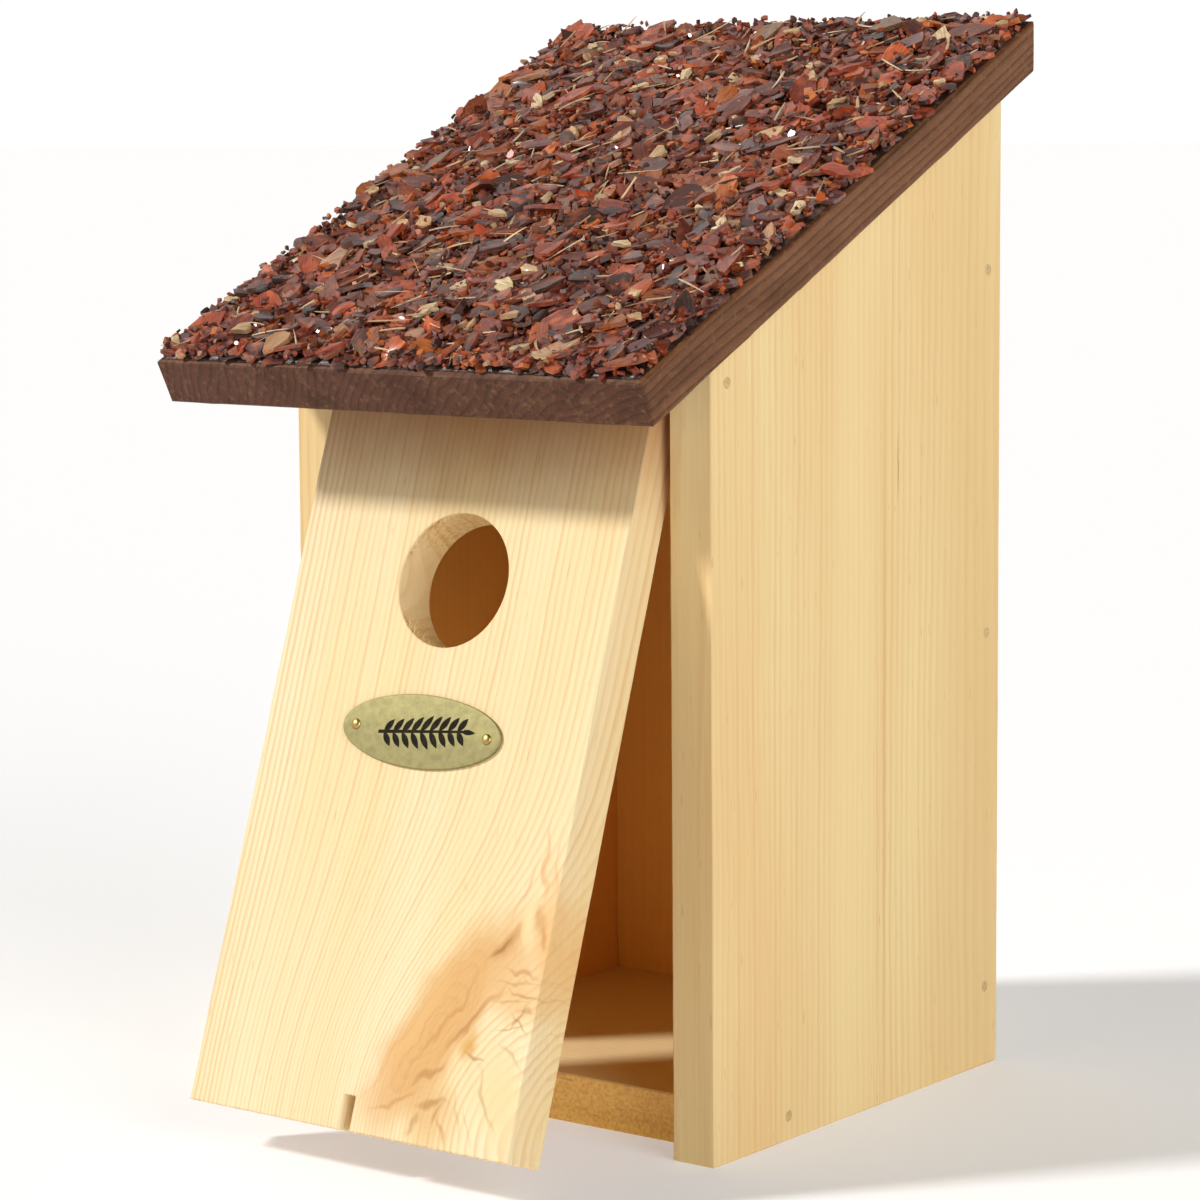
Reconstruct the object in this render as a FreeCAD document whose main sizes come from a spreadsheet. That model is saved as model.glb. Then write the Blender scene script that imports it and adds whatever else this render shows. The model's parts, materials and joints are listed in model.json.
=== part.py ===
"""Wooden nest box with a swing-out front and a bark-covered lean-to roof, in millimetres.

Frame: origin at the centre of the footprint, on the ground. +Z is up, the front faces -Y and +X is
to the right of somebody who looks at the front. The front is drawn ajar, as the box is shown and
cleaned, and swings about two nails near its top.
"""
import FreeCAD, Part
import os
import re

import Sketcher
from FreeCAD import Placement, Rotation, Vector

# Driving sizes: name, value in mm (degrees for an angle), meaning.
SIZES = (
    ("body_width", 125.0, "outside width over the two sides"),
    ("body_depth", 124.0, "front edge of a side to the back face"),
    ("front_height", 190.6, "front edge of a side, ground to roof"),
    ("roof_slope", 26.0, "degrees, rising to the back"),
    ("side_thick", 12.0, "side boards"),
    ("back_thick", 12.0, "back board"),
    ("floor_thick", 12.0, "floor board"),
    ("panel_thick", 12.0, "front board"),
    ("roof_thick", 11.4, "roof board, square to its face"),
    ("roof_side_overhang", 9.5, "roof board beyond each side board"),
    ("roof_overhang", 34.4, "front plane to the lower front edge of the roof"),
    ("bark_thick", 3.0, "glued bark, mean height above the board"),
    ("bark_margin", 1.0, "bare board left round the bark"),
    ("ajar_angle", 18.9, "degrees that the front stands open"),
    ("pivot_drop", 9.6, "top of a side's front edge to the pivot nails"),
    ("panel_head", 7.5, "front board above the pivot"),
    ("panel_side_gap", 2.4, "front board to each side board"),
    ("panel_base_gap", 0.4, "closed front board to the ground"),
    ("panel_floor_gap", 0.3, "closed front board to the floor board"),
    ("hole_dia", 32.0, "entrance hole"),
    ("hole_drop", 51.5, "pivot to the middle of the entrance hole"),
    ("slot_side_gap", 0.4, "latch slot to the hook, each side"),
    ("slot_head_gap", 1.0, "latch slot above the hook"),
    ("plate_width", 47.4, "oval plate, left to right"),
    ("plate_rise", 17.4, "oval plate, top to bottom"),
    ("plate_thick", 0.8, "oval plate"),
    ("plate_drop", 87.7, "pivot to the middle of the oval plate"),
    ("pin_inset", 4.0, "end of the oval plate to its pin"),
    ("pin_radius", 0.7, "shank of a plate pin"),
    ("pin_reach", 8.0, "plate pin inside the front board"),
    ("pin_head_radius", 1.3, "domed head of a plate pin"),
    ("nail_radius", 0.9, "shank of a nail"),
    ("nail_reach", 30.0, "length of a nail"),
    ("nail_tip", 2.0, "pointed end of a nail"),
    ("nail_head_radius", 1.3, "head of a nail, set flush"),
    ("nail_head_thick", 0.8, "head of a nail"),
    ("nail_gap", 0.03, "round a driven nail"),
    ("pivot_play", 0.06, "round a pivot nail in the front board"),
    ("floor_nail_setback", 30.0, "front plane to the nail in the floor's edge"),
    ("back_nail_low", 20.5, "lowest nail in the back's edge above the ground"),
    ("back_nail_high", 48.579, "highest nail in the back's edge below its top"),
    ("roof_nail_front", 20.0, "front plane to the first roof nail"),
    ("roof_nail_rear", 24.0, "back face to the last roof nail"),
    ("rear_nail_spacing", 60.0, "between the nails through the back into the floor"),
    ("hook_wire_radius", 1.2, "latch hook"),
    ("hook_lift", 0.4, "shank of the latch hook above the middle of the floor board"),
    ("hook_ground_gap", 0.5, "lowest point of the hook's leg to the ground"),
    ("hook_bend", 1.3, "centre-line radius of the hook's bend"),
    ("hook_face_gap", 0.8, "hook leg to the closed front"),
    ("hook_thread", 18.0, "hook inside the floor board"),
    ("hook_play", 0.05, "round the hook in the floor board"),
    ("hanger_width", 44.0, "hanging plate, left to right"),
    ("hanger_rise", 20.0, "hanging plate, top to bottom"),
    ("hanger_thick", 1.2, "hanging plate"),
    ("hanger_drop", 37.079, "top of the back to the middle of the hanging plate"),
    ("keyhole_radius", 4.5, "round part of the keyhole"),
    ("keyhole_slot_radius", 2.2, "narrow part of the keyhole"),
    ("keyhole_rise", 6.0, "round part to the top of the narrow part, centre to centre"),
    ("keyhole_drop", 3.0, "plate's middle to the round part"),
    ("recess_depth", 3.0, "recess in the back that sinks the hanging plate and its screws"),
    ("recess_gap", 0.4, "hanging plate to the wall of its recess"),
    ("pocket_radius", 9.0, "pocket behind the keyhole"),
    ("pocket_depth", 5.0, "pocket behind the keyhole, below the recess"),
    ("screw_inset", 5.5, "end of the hanging plate to its screw"),
    ("screw_radius", 1.5, "shank of a hanger screw"),
    ("screw_reach", 7.0, "hanger screw inside the back board"),
    ("screw_head_radius", 3.0, "head of a hanger screw"),
    ("screw_head_thick", 1.6, "head of a hanger screw"),
)

# Sizes that follow from the driving ones.
DERIVED = (
    ("front_plane", "-body_depth / 2"),
    ("back_plane", "body_depth / 2"),
    ("inner_half", "body_width / 2 - side_thick"),
    ("pitch", "tan(roof_slope)"),
    ("back_height", "front_height + body_depth * pitch"),
    ("back_nail_pitch", "(back_height - back_nail_low - back_nail_high) / 2"),
    ("hanger_height", "back_height - hanger_drop"),
    ("hanger_plane", "back_plane - recess_depth"),
    ("screw_pitch", "hanger_width - 2 * screw_inset"),
    ("pivot_plane", "front_plane + panel_thick / 2"),
    ("pivot_height", "front_height - pivot_drop"),
    ("panel_width", "2 * (inner_half - panel_side_gap)"),
    ("panel_foot", "pivot_height - panel_base_gap"),
    ("pivot_in_panel", "nail_reach - side_thick - panel_side_gap"),
    ("floor_front", "front_plane + panel_thick + panel_floor_gap"),
    ("floor_back", "back_plane - back_thick"),
    ("roof_width", "body_width + 2 * roof_side_overhang"),
    ("roof_nail_pitch", "(body_depth - roof_nail_front - roof_nail_rear) / 2"),
    ("roof_front", "front_plane - roof_overhang"),
    ("roof_lip", "roof_front - roof_thick * sin(roof_slope)"),
    ("roof_plumb", "roof_thick / cos(roof_slope)"),
    ("bark_front", "roof_lip + bark_margin * cos(roof_slope)"),
    ("bark_back", "back_plane - bark_margin"),
    ("bark_lip", "bark_front - bark_thick * sin(roof_slope)"),
    ("bark_plumb", "bark_thick / cos(roof_slope)"),
    ("hook_height", "floor_thick / 2 + hook_lift"),
    ("hook_plane", "front_plane - hook_face_gap - hook_wire_radius"),
    ("hook_leg", "hook_height - hook_bend - hook_ground_gap"),
    ("slot_width", "2 * (hook_wire_radius + slot_side_gap)"),
    ("slot_rise", "hook_height + hook_wire_radius + slot_head_gap - panel_base_gap"),
    ("pin_pitch", "plate_width - 2 * pin_inset"),
)

ALONG_X = Rotation(Vector(0, 1, 0), 90)
ALONG_MINUS_X = Rotation(Vector(0, 1, 0), -90)
ALONG_Y = Rotation(Vector(1, 0, 0), -90)
ALONG_MINUS_Y = Rotation(Vector(1, 0, 0), 90)
NAMES = {name for name, _, _ in SIZES} | {name for name, _ in DERIVED}


def bound(text):
    """Turn words such as 'body_width / 2' into an expression that reads the sheet."""
    return re.sub(r"[a-z]\w*", lambda word: "sizes." + word[0] if word[0] in NAMES else word[0], text)


def make_sheet(doc):
    """Write the driving and derived sizes into a spreadsheet with aliases."""
    sheet = doc.addObject("Spreadsheet::Sheet", "sizes")
    for row, (name, value, meaning) in enumerate(SIZES, start=1):
        sheet.set(f"A{row}", name)
        sheet.set(f"B{row}", str(value))
        sheet.setAlias(f"B{row}", name)
        sheet.set(f"C{row}", meaning)
    doc.recompute()
    for row, (name, formula) in enumerate(DERIVED, start=len(SIZES) + 1):
        sheet.set(f"A{row}", name)
        sheet.set(f"B{row}", "=" + formula)
        sheet.setAlias(f"B{row}", name)
        doc.recompute()
    return sheet


def bind(obj, **expressions):
    """Bind properties of an object to the sheet; a double underscore stands for a dot."""
    for prop, text in expressions.items():
        obj.setExpression(prop.replace("__", "."), bound(text))


def move(obj, x="0", y="0", z="0", turn=None, tilt=None):
    """Place an object: x, y and z are words for the sheet, tilt is an angle about X in words."""
    if turn is not None:
        obj.Placement = Placement(Vector(0, 0, 0), turn)
    if tilt is not None:
        obj.Placement = Placement(Vector(0, 0, 0), Rotation(Vector(1, 0, 0), 1))
        bind(obj, Placement__Rotation__Angle=tilt)
    bind(obj, Placement__Base__x=x, Placement__Base__y=y, Placement__Base__z=z)
    return obj


def origin_plane(body, role):
    """Return the body's own origin plane with this role."""
    return next(item for item in body.Origin.OriginFeatures if item.Role == role)


def new_sketch(body, role):
    """Add a sketch to a body, on one of its origin planes."""
    sketch = body.newObject("Sketcher::SketchObject", body.Name + "_sketch")
    sketch.AttachmentSupport = (origin_plane(body, role), "")
    sketch.MapMode = "FlatFace"
    return sketch


def pin_point(sketch, edge, end, across, up):
    """Hold one end of an edge at a distance from the sketch's origin, given in words or left free."""
    for kind, text in (("DistanceX", across), ("DistanceY", up)):
        if text is None:
            continue
        value = float(sketch.Document.sizes.evalExpression(bound(text)))
        index = sketch.addConstraint(Sketcher.Constraint(kind, -1, 1, edge, end, value))
        sketch.setExpression(f"Constraints[{index}]", bound(text))


def add_outline(sketch, corners):
    """Draw a closed outline whose corners are pairs of words for the sheet."""
    sheet = sketch.Document.sizes
    spots = [Vector(*(float(sheet.evalExpression(bound(text))) for text in pair)) for pair in corners]
    for start, stop in zip(spots, spots[1:] + spots[:1]):
        sketch.addGeometry(Part.LineSegment(start, stop), False)
    count = len(corners)
    for edge, (across, up) in enumerate(corners):
        sketch.addConstraint(Sketcher.Constraint("Coincident", edge, 2, (edge + 1) % count, 1))
        pin_point(sketch, edge, 1, across, up)


def add_circle(sketch, across, up, radius):
    """Draw a circle whose middle and radius are words for the sheet."""
    sheet = sketch.Document.sizes
    middle = Vector(*(float(sheet.evalExpression(bound(text))) for text in (across, up)))
    size = float(sheet.evalExpression(bound(radius)))
    edge = sketch.addGeometry(Part.Circle(middle, Vector(0, 0, 1), size), False)
    pin_point(sketch, edge, 3, across, up)
    index = sketch.addConstraint(Sketcher.Constraint("Radius", edge, size))
    sketch.setExpression(f"Constraints[{index}]", bound(radius))


def board(doc, name, role, corners, width, circles=()):
    """Pad an outline both ways from an origin plane, as a board with optional round holes."""
    body = doc.addObject("PartDesign::Body", name)
    sketch = new_sketch(body, role)
    add_outline(sketch, corners)
    for circle in circles:
        add_circle(sketch, *circle)
    pad = body.newObject("PartDesign::Pad", name + "_pad")
    pad.Profile = sketch
    pad.Midplane = True
    bind(pad, Length=width)
    doc.recompute()
    return body


def cylinder(doc, name, radius, reach, start="0"):
    """Add a cylinder along its own Z, from start upwards."""
    part = doc.addObject("Part::Cylinder", name)
    bind(part, Radius=radius, Height=reach)
    return move(part, z=start)


def joined(doc, name, pieces):
    """Fuse pieces into one solid."""
    fuse = doc.addObject("Part::MultiFuse", name)
    fuse.Shapes = pieces
    return fuse


def cut(doc, label, base, tools):
    """Take tools away from a piece and give the result the sub-part's label."""
    result = doc.addObject("Part::Cut", label + "_cut")
    result.Base = base
    result.Tool = tools[0] if len(tools) == 1 else joined(doc, label + "_tools", tools)
    result.Label = label
    return result


def nail(doc, label, **place):
    """One nail: head at its own origin, shank and point towards +Z."""
    head = cylinder(doc, label + "_head", "nail_head_radius", "nail_head_thick")
    shank = cylinder(doc, label + "_shank", "nail_radius", "nail_reach - nail_tip")
    point = doc.addObject("Part::Cone", label + "_point")
    bind(point, Radius1="nail_radius", Radius2="nail_radius / 4", Height="nail_tip")
    move(point, z="nail_reach - nail_tip")
    piece = joined(doc, label + "_nail", [head, shank, point])
    piece.Label = label
    return move(piece, **place)


def nail_hole(doc, name, **place):
    """The room that a nail takes in the boards, with its clearance."""
    head = cylinder(doc, name + "_sink", "nail_head_radius + nail_gap", "nail_head_thick + nail_gap")
    shank = cylinder(doc, name + "_bore", "nail_radius + nail_gap", "nail_reach + nail_gap")
    return move(joined(doc, name, [head, shank]), **place)


def nail_plan():
    """Every nail: label, the boards it is driven through, and its place and direction."""
    plan = []
    for side, sign, turn in (("left", "-", ALONG_X), ("right", "", ALONG_MINUS_X)):
        face = sign + "body_width / 2"
        plan.append((f"pivot_nail_{side}", (f"{side}_side",),
                     dict(x=face, y="pivot_plane", z="pivot_height", turn=turn)))
        plan.append((f"floor_nail_{side}", (f"{side}_side", "floor_board"),
                     dict(x=face, y="front_plane + floor_nail_setback", z="floor_thick / 2", turn=turn)))
        for step, level in enumerate(("lower", "middle", "upper")):
            height = f"back_nail_low + {step} * back_nail_pitch"
            plan.append((f"back_nail_{side}_{level}", (f"{side}_side", "back_panel"),
                         dict(x=face, y="back_plane - back_thick / 2", z=height, turn=turn)))
        for step, where in enumerate(("front", "middle", "rear")):
            setback = f"(roof_nail_front + {step} * roof_nail_pitch)"
            height = f"front_height + roof_plumb + {setback} * pitch"
            plan.append((f"roof_nail_{side}_{where}", (f"{side}_side", "roof_board"),
                         dict(x=sign + "(body_width - side_thick) / 2", y=f"front_plane + {setback}",
                              z=height, tilt="180 + roof_slope")))
        plan.append((f"rear_nail_{side}", ("back_panel", "floor_board"),
                     dict(x=sign + "rear_nail_spacing / 2", y="back_plane", z="floor_thick / 2",
                          turn=ALONG_MINUS_Y)))
    return plan


def holes_for(doc, board_name, plan):
    """Hole tools of every nail that passes through this board."""
    return [nail_hole(doc, f"{board_name}_{label}_hole", **place)
            for label, boards, place in plan if board_name in boards]


def make_side(doc, side, sign, plan):
    """A side board: sloped top, square corners, holes for its nails."""
    corners = (("front_plane", "0"), ("back_plane", "0"), ("back_plane", "back_height"),
               ("front_plane", "front_height"))
    blank = board(doc, f"{side}_side_blank", "YZ_Plane", corners, "side_thick")
    move(blank, x=sign + "(body_width - side_thick) / 2")
    return cut(doc, f"{side}_side", blank, holes_for(doc, f"{side}_side", plan))


def make_back(doc, plan):
    """The back board between the sides, with the recess and the pocket of the hanging plate."""
    corners = (("floor_back", "0"), ("back_plane", "0"), ("back_plane", "back_height"),
               ("floor_back", "back_height - back_thick * pitch"))
    blank = board(doc, "back_panel_blank", "YZ_Plane", corners, "2 * inner_half")
    pocket = cylinder(doc, "hanger_pocket", "pocket_radius", "pocket_depth")
    move(pocket, y="hanger_plane", z="hanger_height", turn=ALONG_MINUS_Y)
    recess = doc.addObject("Part::Box", "hanger_recess")
    bind(recess, Length="hanger_width + 2 * recess_gap", Width="recess_depth",
         Height="hanger_rise + 2 * recess_gap")
    move(recess, x="-hanger_width / 2 - recess_gap", y="hanger_plane",
         z="hanger_height - hanger_rise / 2 - recess_gap")
    pilots = []
    for side, sign in (("left", "-"), ("right", "")):
        pilot = cylinder(doc, f"hanger_pilot_{side}", "screw_radius + nail_gap", "screw_reach + nail_gap")
        pilots.append(move(pilot, x=sign + "screw_pitch / 2", y="hanger_plane", z="hanger_height",
                           turn=ALONG_MINUS_Y))
    return cut(doc, "back_panel", blank, holes_for(doc, "back_panel", plan) + [recess, pocket] + pilots)


def make_floor(doc, plan):
    """The floor board between the sides, in front of the back, bored for the hook."""
    blank = doc.addObject("Part::Box", "floor_board_blank")
    bind(blank, Length="2 * inner_half", Width="floor_back - floor_front", Height="floor_thick")
    move(blank, x="-inner_half", y="floor_front")
    bore = cylinder(doc, "hook_bore", "hook_wire_radius + hook_play", "hook_thread + hook_play")
    move(bore, y="floor_front", z="hook_height", turn=ALONG_Y)
    return cut(doc, "floor_board", blank, holes_for(doc, "floor_board", plan) + [bore])


def make_roof(doc, plan):
    """The roof board: square-cut lower end, upper end plumb with the back."""
    top = "front_height + roof_plumb - roof_overhang * pitch - roof_thick * sin(roof_slope) * pitch"
    corners = (("roof_front", "front_height - roof_overhang * pitch"), ("back_plane", "back_height"),
               ("back_plane", "back_height + roof_plumb"), ("roof_lip", top))
    blank = board(doc, "roof_board_blank", "YZ_Plane", corners, "roof_width")
    return cut(doc, "roof_board", blank, holes_for(doc, "roof_board", plan))


def make_bark(doc):
    """The layer of glued bark on the roof board."""
    def rise(place, lift):
        return f"front_height + roof_plumb + {lift} + ({place} - front_plane) * pitch"

    corners = (("bark_front", rise("bark_front", "0")), ("bark_back", rise("bark_back", "0")),
               ("bark_back", rise("bark_back", "bark_plumb")), ("bark_lip", rise("bark_lip", "bark_plumb")))
    layer = board(doc, "bark_layer_body", "YZ_Plane", corners, "roof_width - 2 * bark_margin")
    layer.Label = "bark_layer"
    return layer


def on_front(doc, label, piece):
    """Hang a piece drawn about the pivot axis on the pivot, standing ajar."""
    piece.Label = label
    return move(piece, y="pivot_plane", z="pivot_height", tilt="-ajar_angle")


def make_front(doc):
    """The front board about its pivot: entrance hole, latch slot, pivot and pin holes."""
    half, foot = "panel_width / 2", "-panel_foot"
    slot, slot_top = "slot_width / 2", "slot_rise - panel_foot"
    corners = (("-" + half, foot), ("-" + slot, foot), ("-" + slot, slot_top), (slot, slot_top),
               (slot, foot), (half, foot), (half, "panel_head"), ("-" + half, "panel_head"))
    entrance = ("0", "-hole_drop", "hole_dia / 2")
    blank = board(doc, "front_panel_blank", "XZ_Plane", corners, "panel_thick", [entrance])
    tools = []
    for side, sign, turn in (("left", "-", ALONG_X), ("right", "", ALONG_MINUS_X)):
        pivot = cylinder(doc, f"pivot_bore_{side}", "nail_radius + pivot_play", "pivot_in_panel + pivot_play")
        tools.append(move(pivot, x=sign + half, turn=turn))
        pilot = cylinder(doc, f"pin_pilot_{side}", "pin_radius + nail_gap", "pin_reach + nail_gap")
        tools.append(move(pilot, x=sign + "pin_pitch / 2", y="-panel_thick / 2", z="-plate_drop",
                          turn=ALONG_Y))
    return on_front(doc, "front_panel", cut(doc, "front_panel", blank, tools))


def make_nameplate(doc):
    """The plain oval plate, with holes for its two pins."""
    disc = doc.addObject("Part::Ellipse", "plate_edge")
    bind(disc, MajorRadius="plate_width / 2", MinorRadius="plate_rise / 2")
    oval = doc.addObject("Part::Extrusion", "plate_blank")
    oval.Base = disc
    oval.DirMode = "Custom"
    oval.Dir = Vector(0, 0, 1)
    oval.Solid = True
    bind(oval, LengthFwd="plate_thick")
    move(oval, y="-panel_thick / 2", z="-plate_drop", turn=ALONG_MINUS_Y)
    tools = []
    for side, sign in (("left", "-"), ("right", "")):
        hole = cylinder(doc, f"plate_hole_{side}", "pin_radius + nail_gap", "3 * plate_thick", "-plate_thick")
        tools.append(move(hole, x=sign + "pin_pitch / 2", y="plate_thick - panel_thick / 2", z="-plate_drop",
                          turn=ALONG_MINUS_Y))
    return on_front(doc, "nameplate", cut(doc, "nameplate", oval, tools))


def make_plate_pin(doc, side, sign):
    """One domed pin of the oval plate, drawn with its seat at the origin and then placed."""
    label = f"nameplate_pin_{side}"
    shank = cylinder(doc, label + "_shank", "pin_radius", "pin_reach + plate_thick",
                     "-pin_reach - plate_thick")
    dome = doc.addObject("Part::Ellipsoid", label + "_dome")
    bind(dome, Radius1="pin_head_radius / 2", Radius2="pin_head_radius")
    dome.Angle1 = 0
    pin = move(joined(doc, label + "_pin", [shank, dome]), x=sign + "pin_pitch / 2",
               y="-panel_thick / 2 - plate_thick", z="-plate_drop", turn=ALONG_MINUS_Y)
    carrier = doc.addObject("Part::Compound", label + "_group")
    carrier.Links = [pin]
    return on_front(doc, label, carrier)


def make_hook(doc):
    """The latch hook: a wire screwed into the floor's edge, its leg turned down beyond the front."""
    body = doc.addObject("PartDesign::Body", "latch_hook")
    path = new_sketch(body, "YZ_Plane")
    sheet = doc.sizes
    back, plane, height, bend, leg = (float(sheet.evalExpression(bound(text))) for text in (
        "floor_front + hook_thread", "hook_plane", "hook_height", "hook_bend", "hook_leg"))
    path.addGeometry(Part.LineSegment(Vector(back, height), Vector(plane + bend, height)), False)
    arc = Part.Circle(Vector(plane + bend, height - bend), Vector(0, 0, 1), bend)
    quarter = FreeCAD.Units.Quantity("90 deg").getValueAs("rad").Value
    path.addGeometry(Part.ArcOfCircle(arc, quarter, 2 * quarter), False)
    foot = Vector(plane, height - bend - leg)
    path.addGeometry(Part.LineSegment(Vector(plane, height - bend), foot), False)
    pin_point(path, 0, 1, "floor_front + hook_thread", "hook_height")
    pin_point(path, 0, 2, "hook_plane + hook_bend", "hook_height")
    path.addConstraint(Sketcher.Constraint("Coincident", 0, 2, 1, 1))
    pin_point(path, 1, 3, "hook_plane + hook_bend", "hook_height - hook_bend")
    path.addConstraint(Sketcher.Constraint("Coincident", 1, 2, 2, 1))
    pin_point(path, 2, 1, None, "hook_height - hook_bend")
    pin_point(path, 2, 2, "hook_plane", "hook_height - hook_bend - hook_leg")
    section = body.newObject("Sketcher::SketchObject", "hook_section")
    section.AttachmentSupport = (origin_plane(body, "XZ_Plane"), "")
    section.MapMode = "FlatFace"
    bind(section, AttachmentOffset__Base__z="-(floor_front + hook_thread)")
    add_circle(section, "0", "hook_height", "hook_wire_radius")
    pipe = body.newObject("PartDesign::AdditivePipe", "hook_pipe")
    pipe.Profile = section
    pipe.Spine = (path, ["Edge1", "Edge2", "Edge3"])
    doc.recompute()
    return body


def make_hanger(doc):
    """The hanging plate sunk in the back, with its keyhole."""
    half, rise = "hanger_width / 2", "hanger_rise / 2"
    corners = (("-" + half, "-" + rise), (half, "-" + rise), (half, rise), ("-" + half, rise))
    holes = [("0", "-keyhole_drop", "keyhole_radius")]
    holes += [(sign + "screw_pitch / 2", "0", "screw_radius + nail_gap") for sign in ("-", "")]
    blank = board(doc, "hanger_plate_blank", "XZ_Plane", corners, "hanger_thick", holes)
    move(blank, y="hanger_plane + hanger_thick / 2", z="hanger_height")
    slot = doc.addObject("Part::Box", "keyhole_slot")
    bind(slot, Length="2 * keyhole_slot_radius", Width="3 * hanger_thick", Height="keyhole_rise")
    move(slot, x="-keyhole_slot_radius", y="hanger_plane - hanger_thick", z="hanger_height - keyhole_drop")
    top = cylinder(doc, "keyhole_top", "keyhole_slot_radius", "3 * hanger_thick")
    move(top, y="hanger_plane - hanger_thick", z="hanger_height - keyhole_drop + keyhole_rise",
         turn=ALONG_Y)
    return cut(doc, "hanger_plate", blank, [slot, top])


def make_hanger_screw(doc, side, sign):
    """One round-head screw of the hanging plate."""
    label = f"hanger_screw_{side}"
    shank = cylinder(doc, label + "_shank", "screw_radius", "screw_reach + hanger_thick",
                     "-screw_reach - hanger_thick")
    head = doc.addObject("Part::Ellipsoid", label + "_head")
    bind(head, Radius1="screw_head_thick", Radius2="screw_head_radius")
    head.Angle1 = 0
    screw = joined(doc, label + "_screw", [shank, head])
    screw.Label = label
    return move(screw, x=sign + "screw_pitch / 2", y="hanger_plane + hanger_thick", z="hanger_height",
                turn=ALONG_Y)


def make_parts(doc):
    """Build every sub-part and return them by label."""
    plan = nail_plan()
    parts = [nail(doc, label, **place) for label, _, place in plan]
    parts += [make_side(doc, "left", "-", plan), make_side(doc, "right", "", plan)]
    parts += [make_back(doc, plan), make_floor(doc, plan), make_roof(doc, plan), make_bark(doc)]
    parts += [make_front(doc), make_nameplate(doc)]
    parts += [make_plate_pin(doc, "left", "-"), make_plate_pin(doc, "right", "")]
    parts += [make_hook(doc), make_hanger(doc)]
    parts += [make_hanger_screw(doc, "left", "-"), make_hanger_screw(doc, "right", "")]
    doc.recompute()
    return {part.Label: part for part in parts}


def check(doc, parts):
    """Stop if any object failed or any sub-part is not one valid solid."""
    faults = [obj.Name for obj in doc.Objects if {"Invalid", "Error"} & set(obj.State)]
    for label, part in parts.items():
        shape = part.Shape
        if shape.isNull() or not shape.isValid() or len(shape.Solids) != 1:
            faults.append(label)
    if faults:
        raise RuntimeError("failed objects: " + ", ".join(faults))


def main():
    """Build the document, check it and write one STEP file for each sub-part."""
    doc = FreeCAD.newDocument("nest_box")
    make_sheet(doc)
    parts = make_parts(doc)
    check(doc, parts)
    os.makedirs("parts", exist_ok=True)
    for label, part in parts.items():
        part.Shape.exportStep(os.path.join("parts", label + ".step"))
        print(f"{label}: {part.Shape.Volume / 1000:.3f} cm3")


main()
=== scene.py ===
"""A wooden nest box with a swing-out front and a roof of glued bark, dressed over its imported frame.

Boards, bark, plate and hook are classes that take their sizes from the frame and build and dress
their own pieces. Finishes are frozen dataclasses that make one node material each.
"""

import json
import logging
import math
import random
from collections.abc import Callable, Iterable, Sequence
from dataclasses import dataclass, field
from enum import Enum
from functools import partial
from typing import ClassVar

import bmesh
import bpy
from mathutils import Euler, Matrix, Vector, noise


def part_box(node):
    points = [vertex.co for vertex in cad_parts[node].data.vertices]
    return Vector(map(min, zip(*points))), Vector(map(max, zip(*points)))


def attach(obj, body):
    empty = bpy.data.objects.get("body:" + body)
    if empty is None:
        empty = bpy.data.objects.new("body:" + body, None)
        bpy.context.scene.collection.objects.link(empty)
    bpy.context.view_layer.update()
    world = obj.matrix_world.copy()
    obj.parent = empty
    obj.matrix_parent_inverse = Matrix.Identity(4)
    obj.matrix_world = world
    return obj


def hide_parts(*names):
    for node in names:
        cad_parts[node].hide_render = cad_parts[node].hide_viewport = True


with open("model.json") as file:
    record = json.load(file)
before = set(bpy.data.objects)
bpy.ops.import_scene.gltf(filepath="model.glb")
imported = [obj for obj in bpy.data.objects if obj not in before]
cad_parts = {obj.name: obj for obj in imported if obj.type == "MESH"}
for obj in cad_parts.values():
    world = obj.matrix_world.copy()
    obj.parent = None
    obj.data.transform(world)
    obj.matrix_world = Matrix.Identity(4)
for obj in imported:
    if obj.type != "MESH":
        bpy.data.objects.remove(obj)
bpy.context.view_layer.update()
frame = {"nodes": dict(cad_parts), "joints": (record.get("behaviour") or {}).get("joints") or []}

LOG = logging.getLogger("nest_box")
MM = 0.001
STAND = Matrix.Rotation(math.pi / 2, 4, "X")
LIE = Matrix.Rotation(math.pi / 2, 4, "Y")

Socket = bpy.types.NodeSocket
Add = Callable[..., Socket]
Inputs = dict[str, object]
Material = bpy.types.Material
Mesh = bpy.types.Mesh
Shape = bmesh.types.BMesh
Corner = bmesh.types.BMVert
Colour = tuple[float, float, float, float]
Triple = tuple[float, float, float]


class Slot(Enum):
    """Material slots of the record."""

    PINE = "pine"
    STAIN = "stained_wood"
    BARK = "glued_bark"
    BRASS = "plate_brass"


class Body(Enum):
    """Bodies that pieces ride on."""

    HOUSE = "house"
    FRONT = "front"


# ---------------------------------------------------------------- finishes


def linear(hex_colour: str) -> Colour:
    """Turn an sRGB hex colour into linear light.

    Args:
        hex_colour: six hex digits with a leading hash.

    Returns:
        Red, green, blue and an alpha of 1.
    """
    shares = (int(hex_colour[start:start + 2], 16) / 255 for start in (1, 3, 5))
    red, green, blue = (
        share / 12.92 if share <= 0.04045 else ((share + 0.055) / 1.055) ** 2.4 for share in shares)
    return red, green, blue, 1.0


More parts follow.
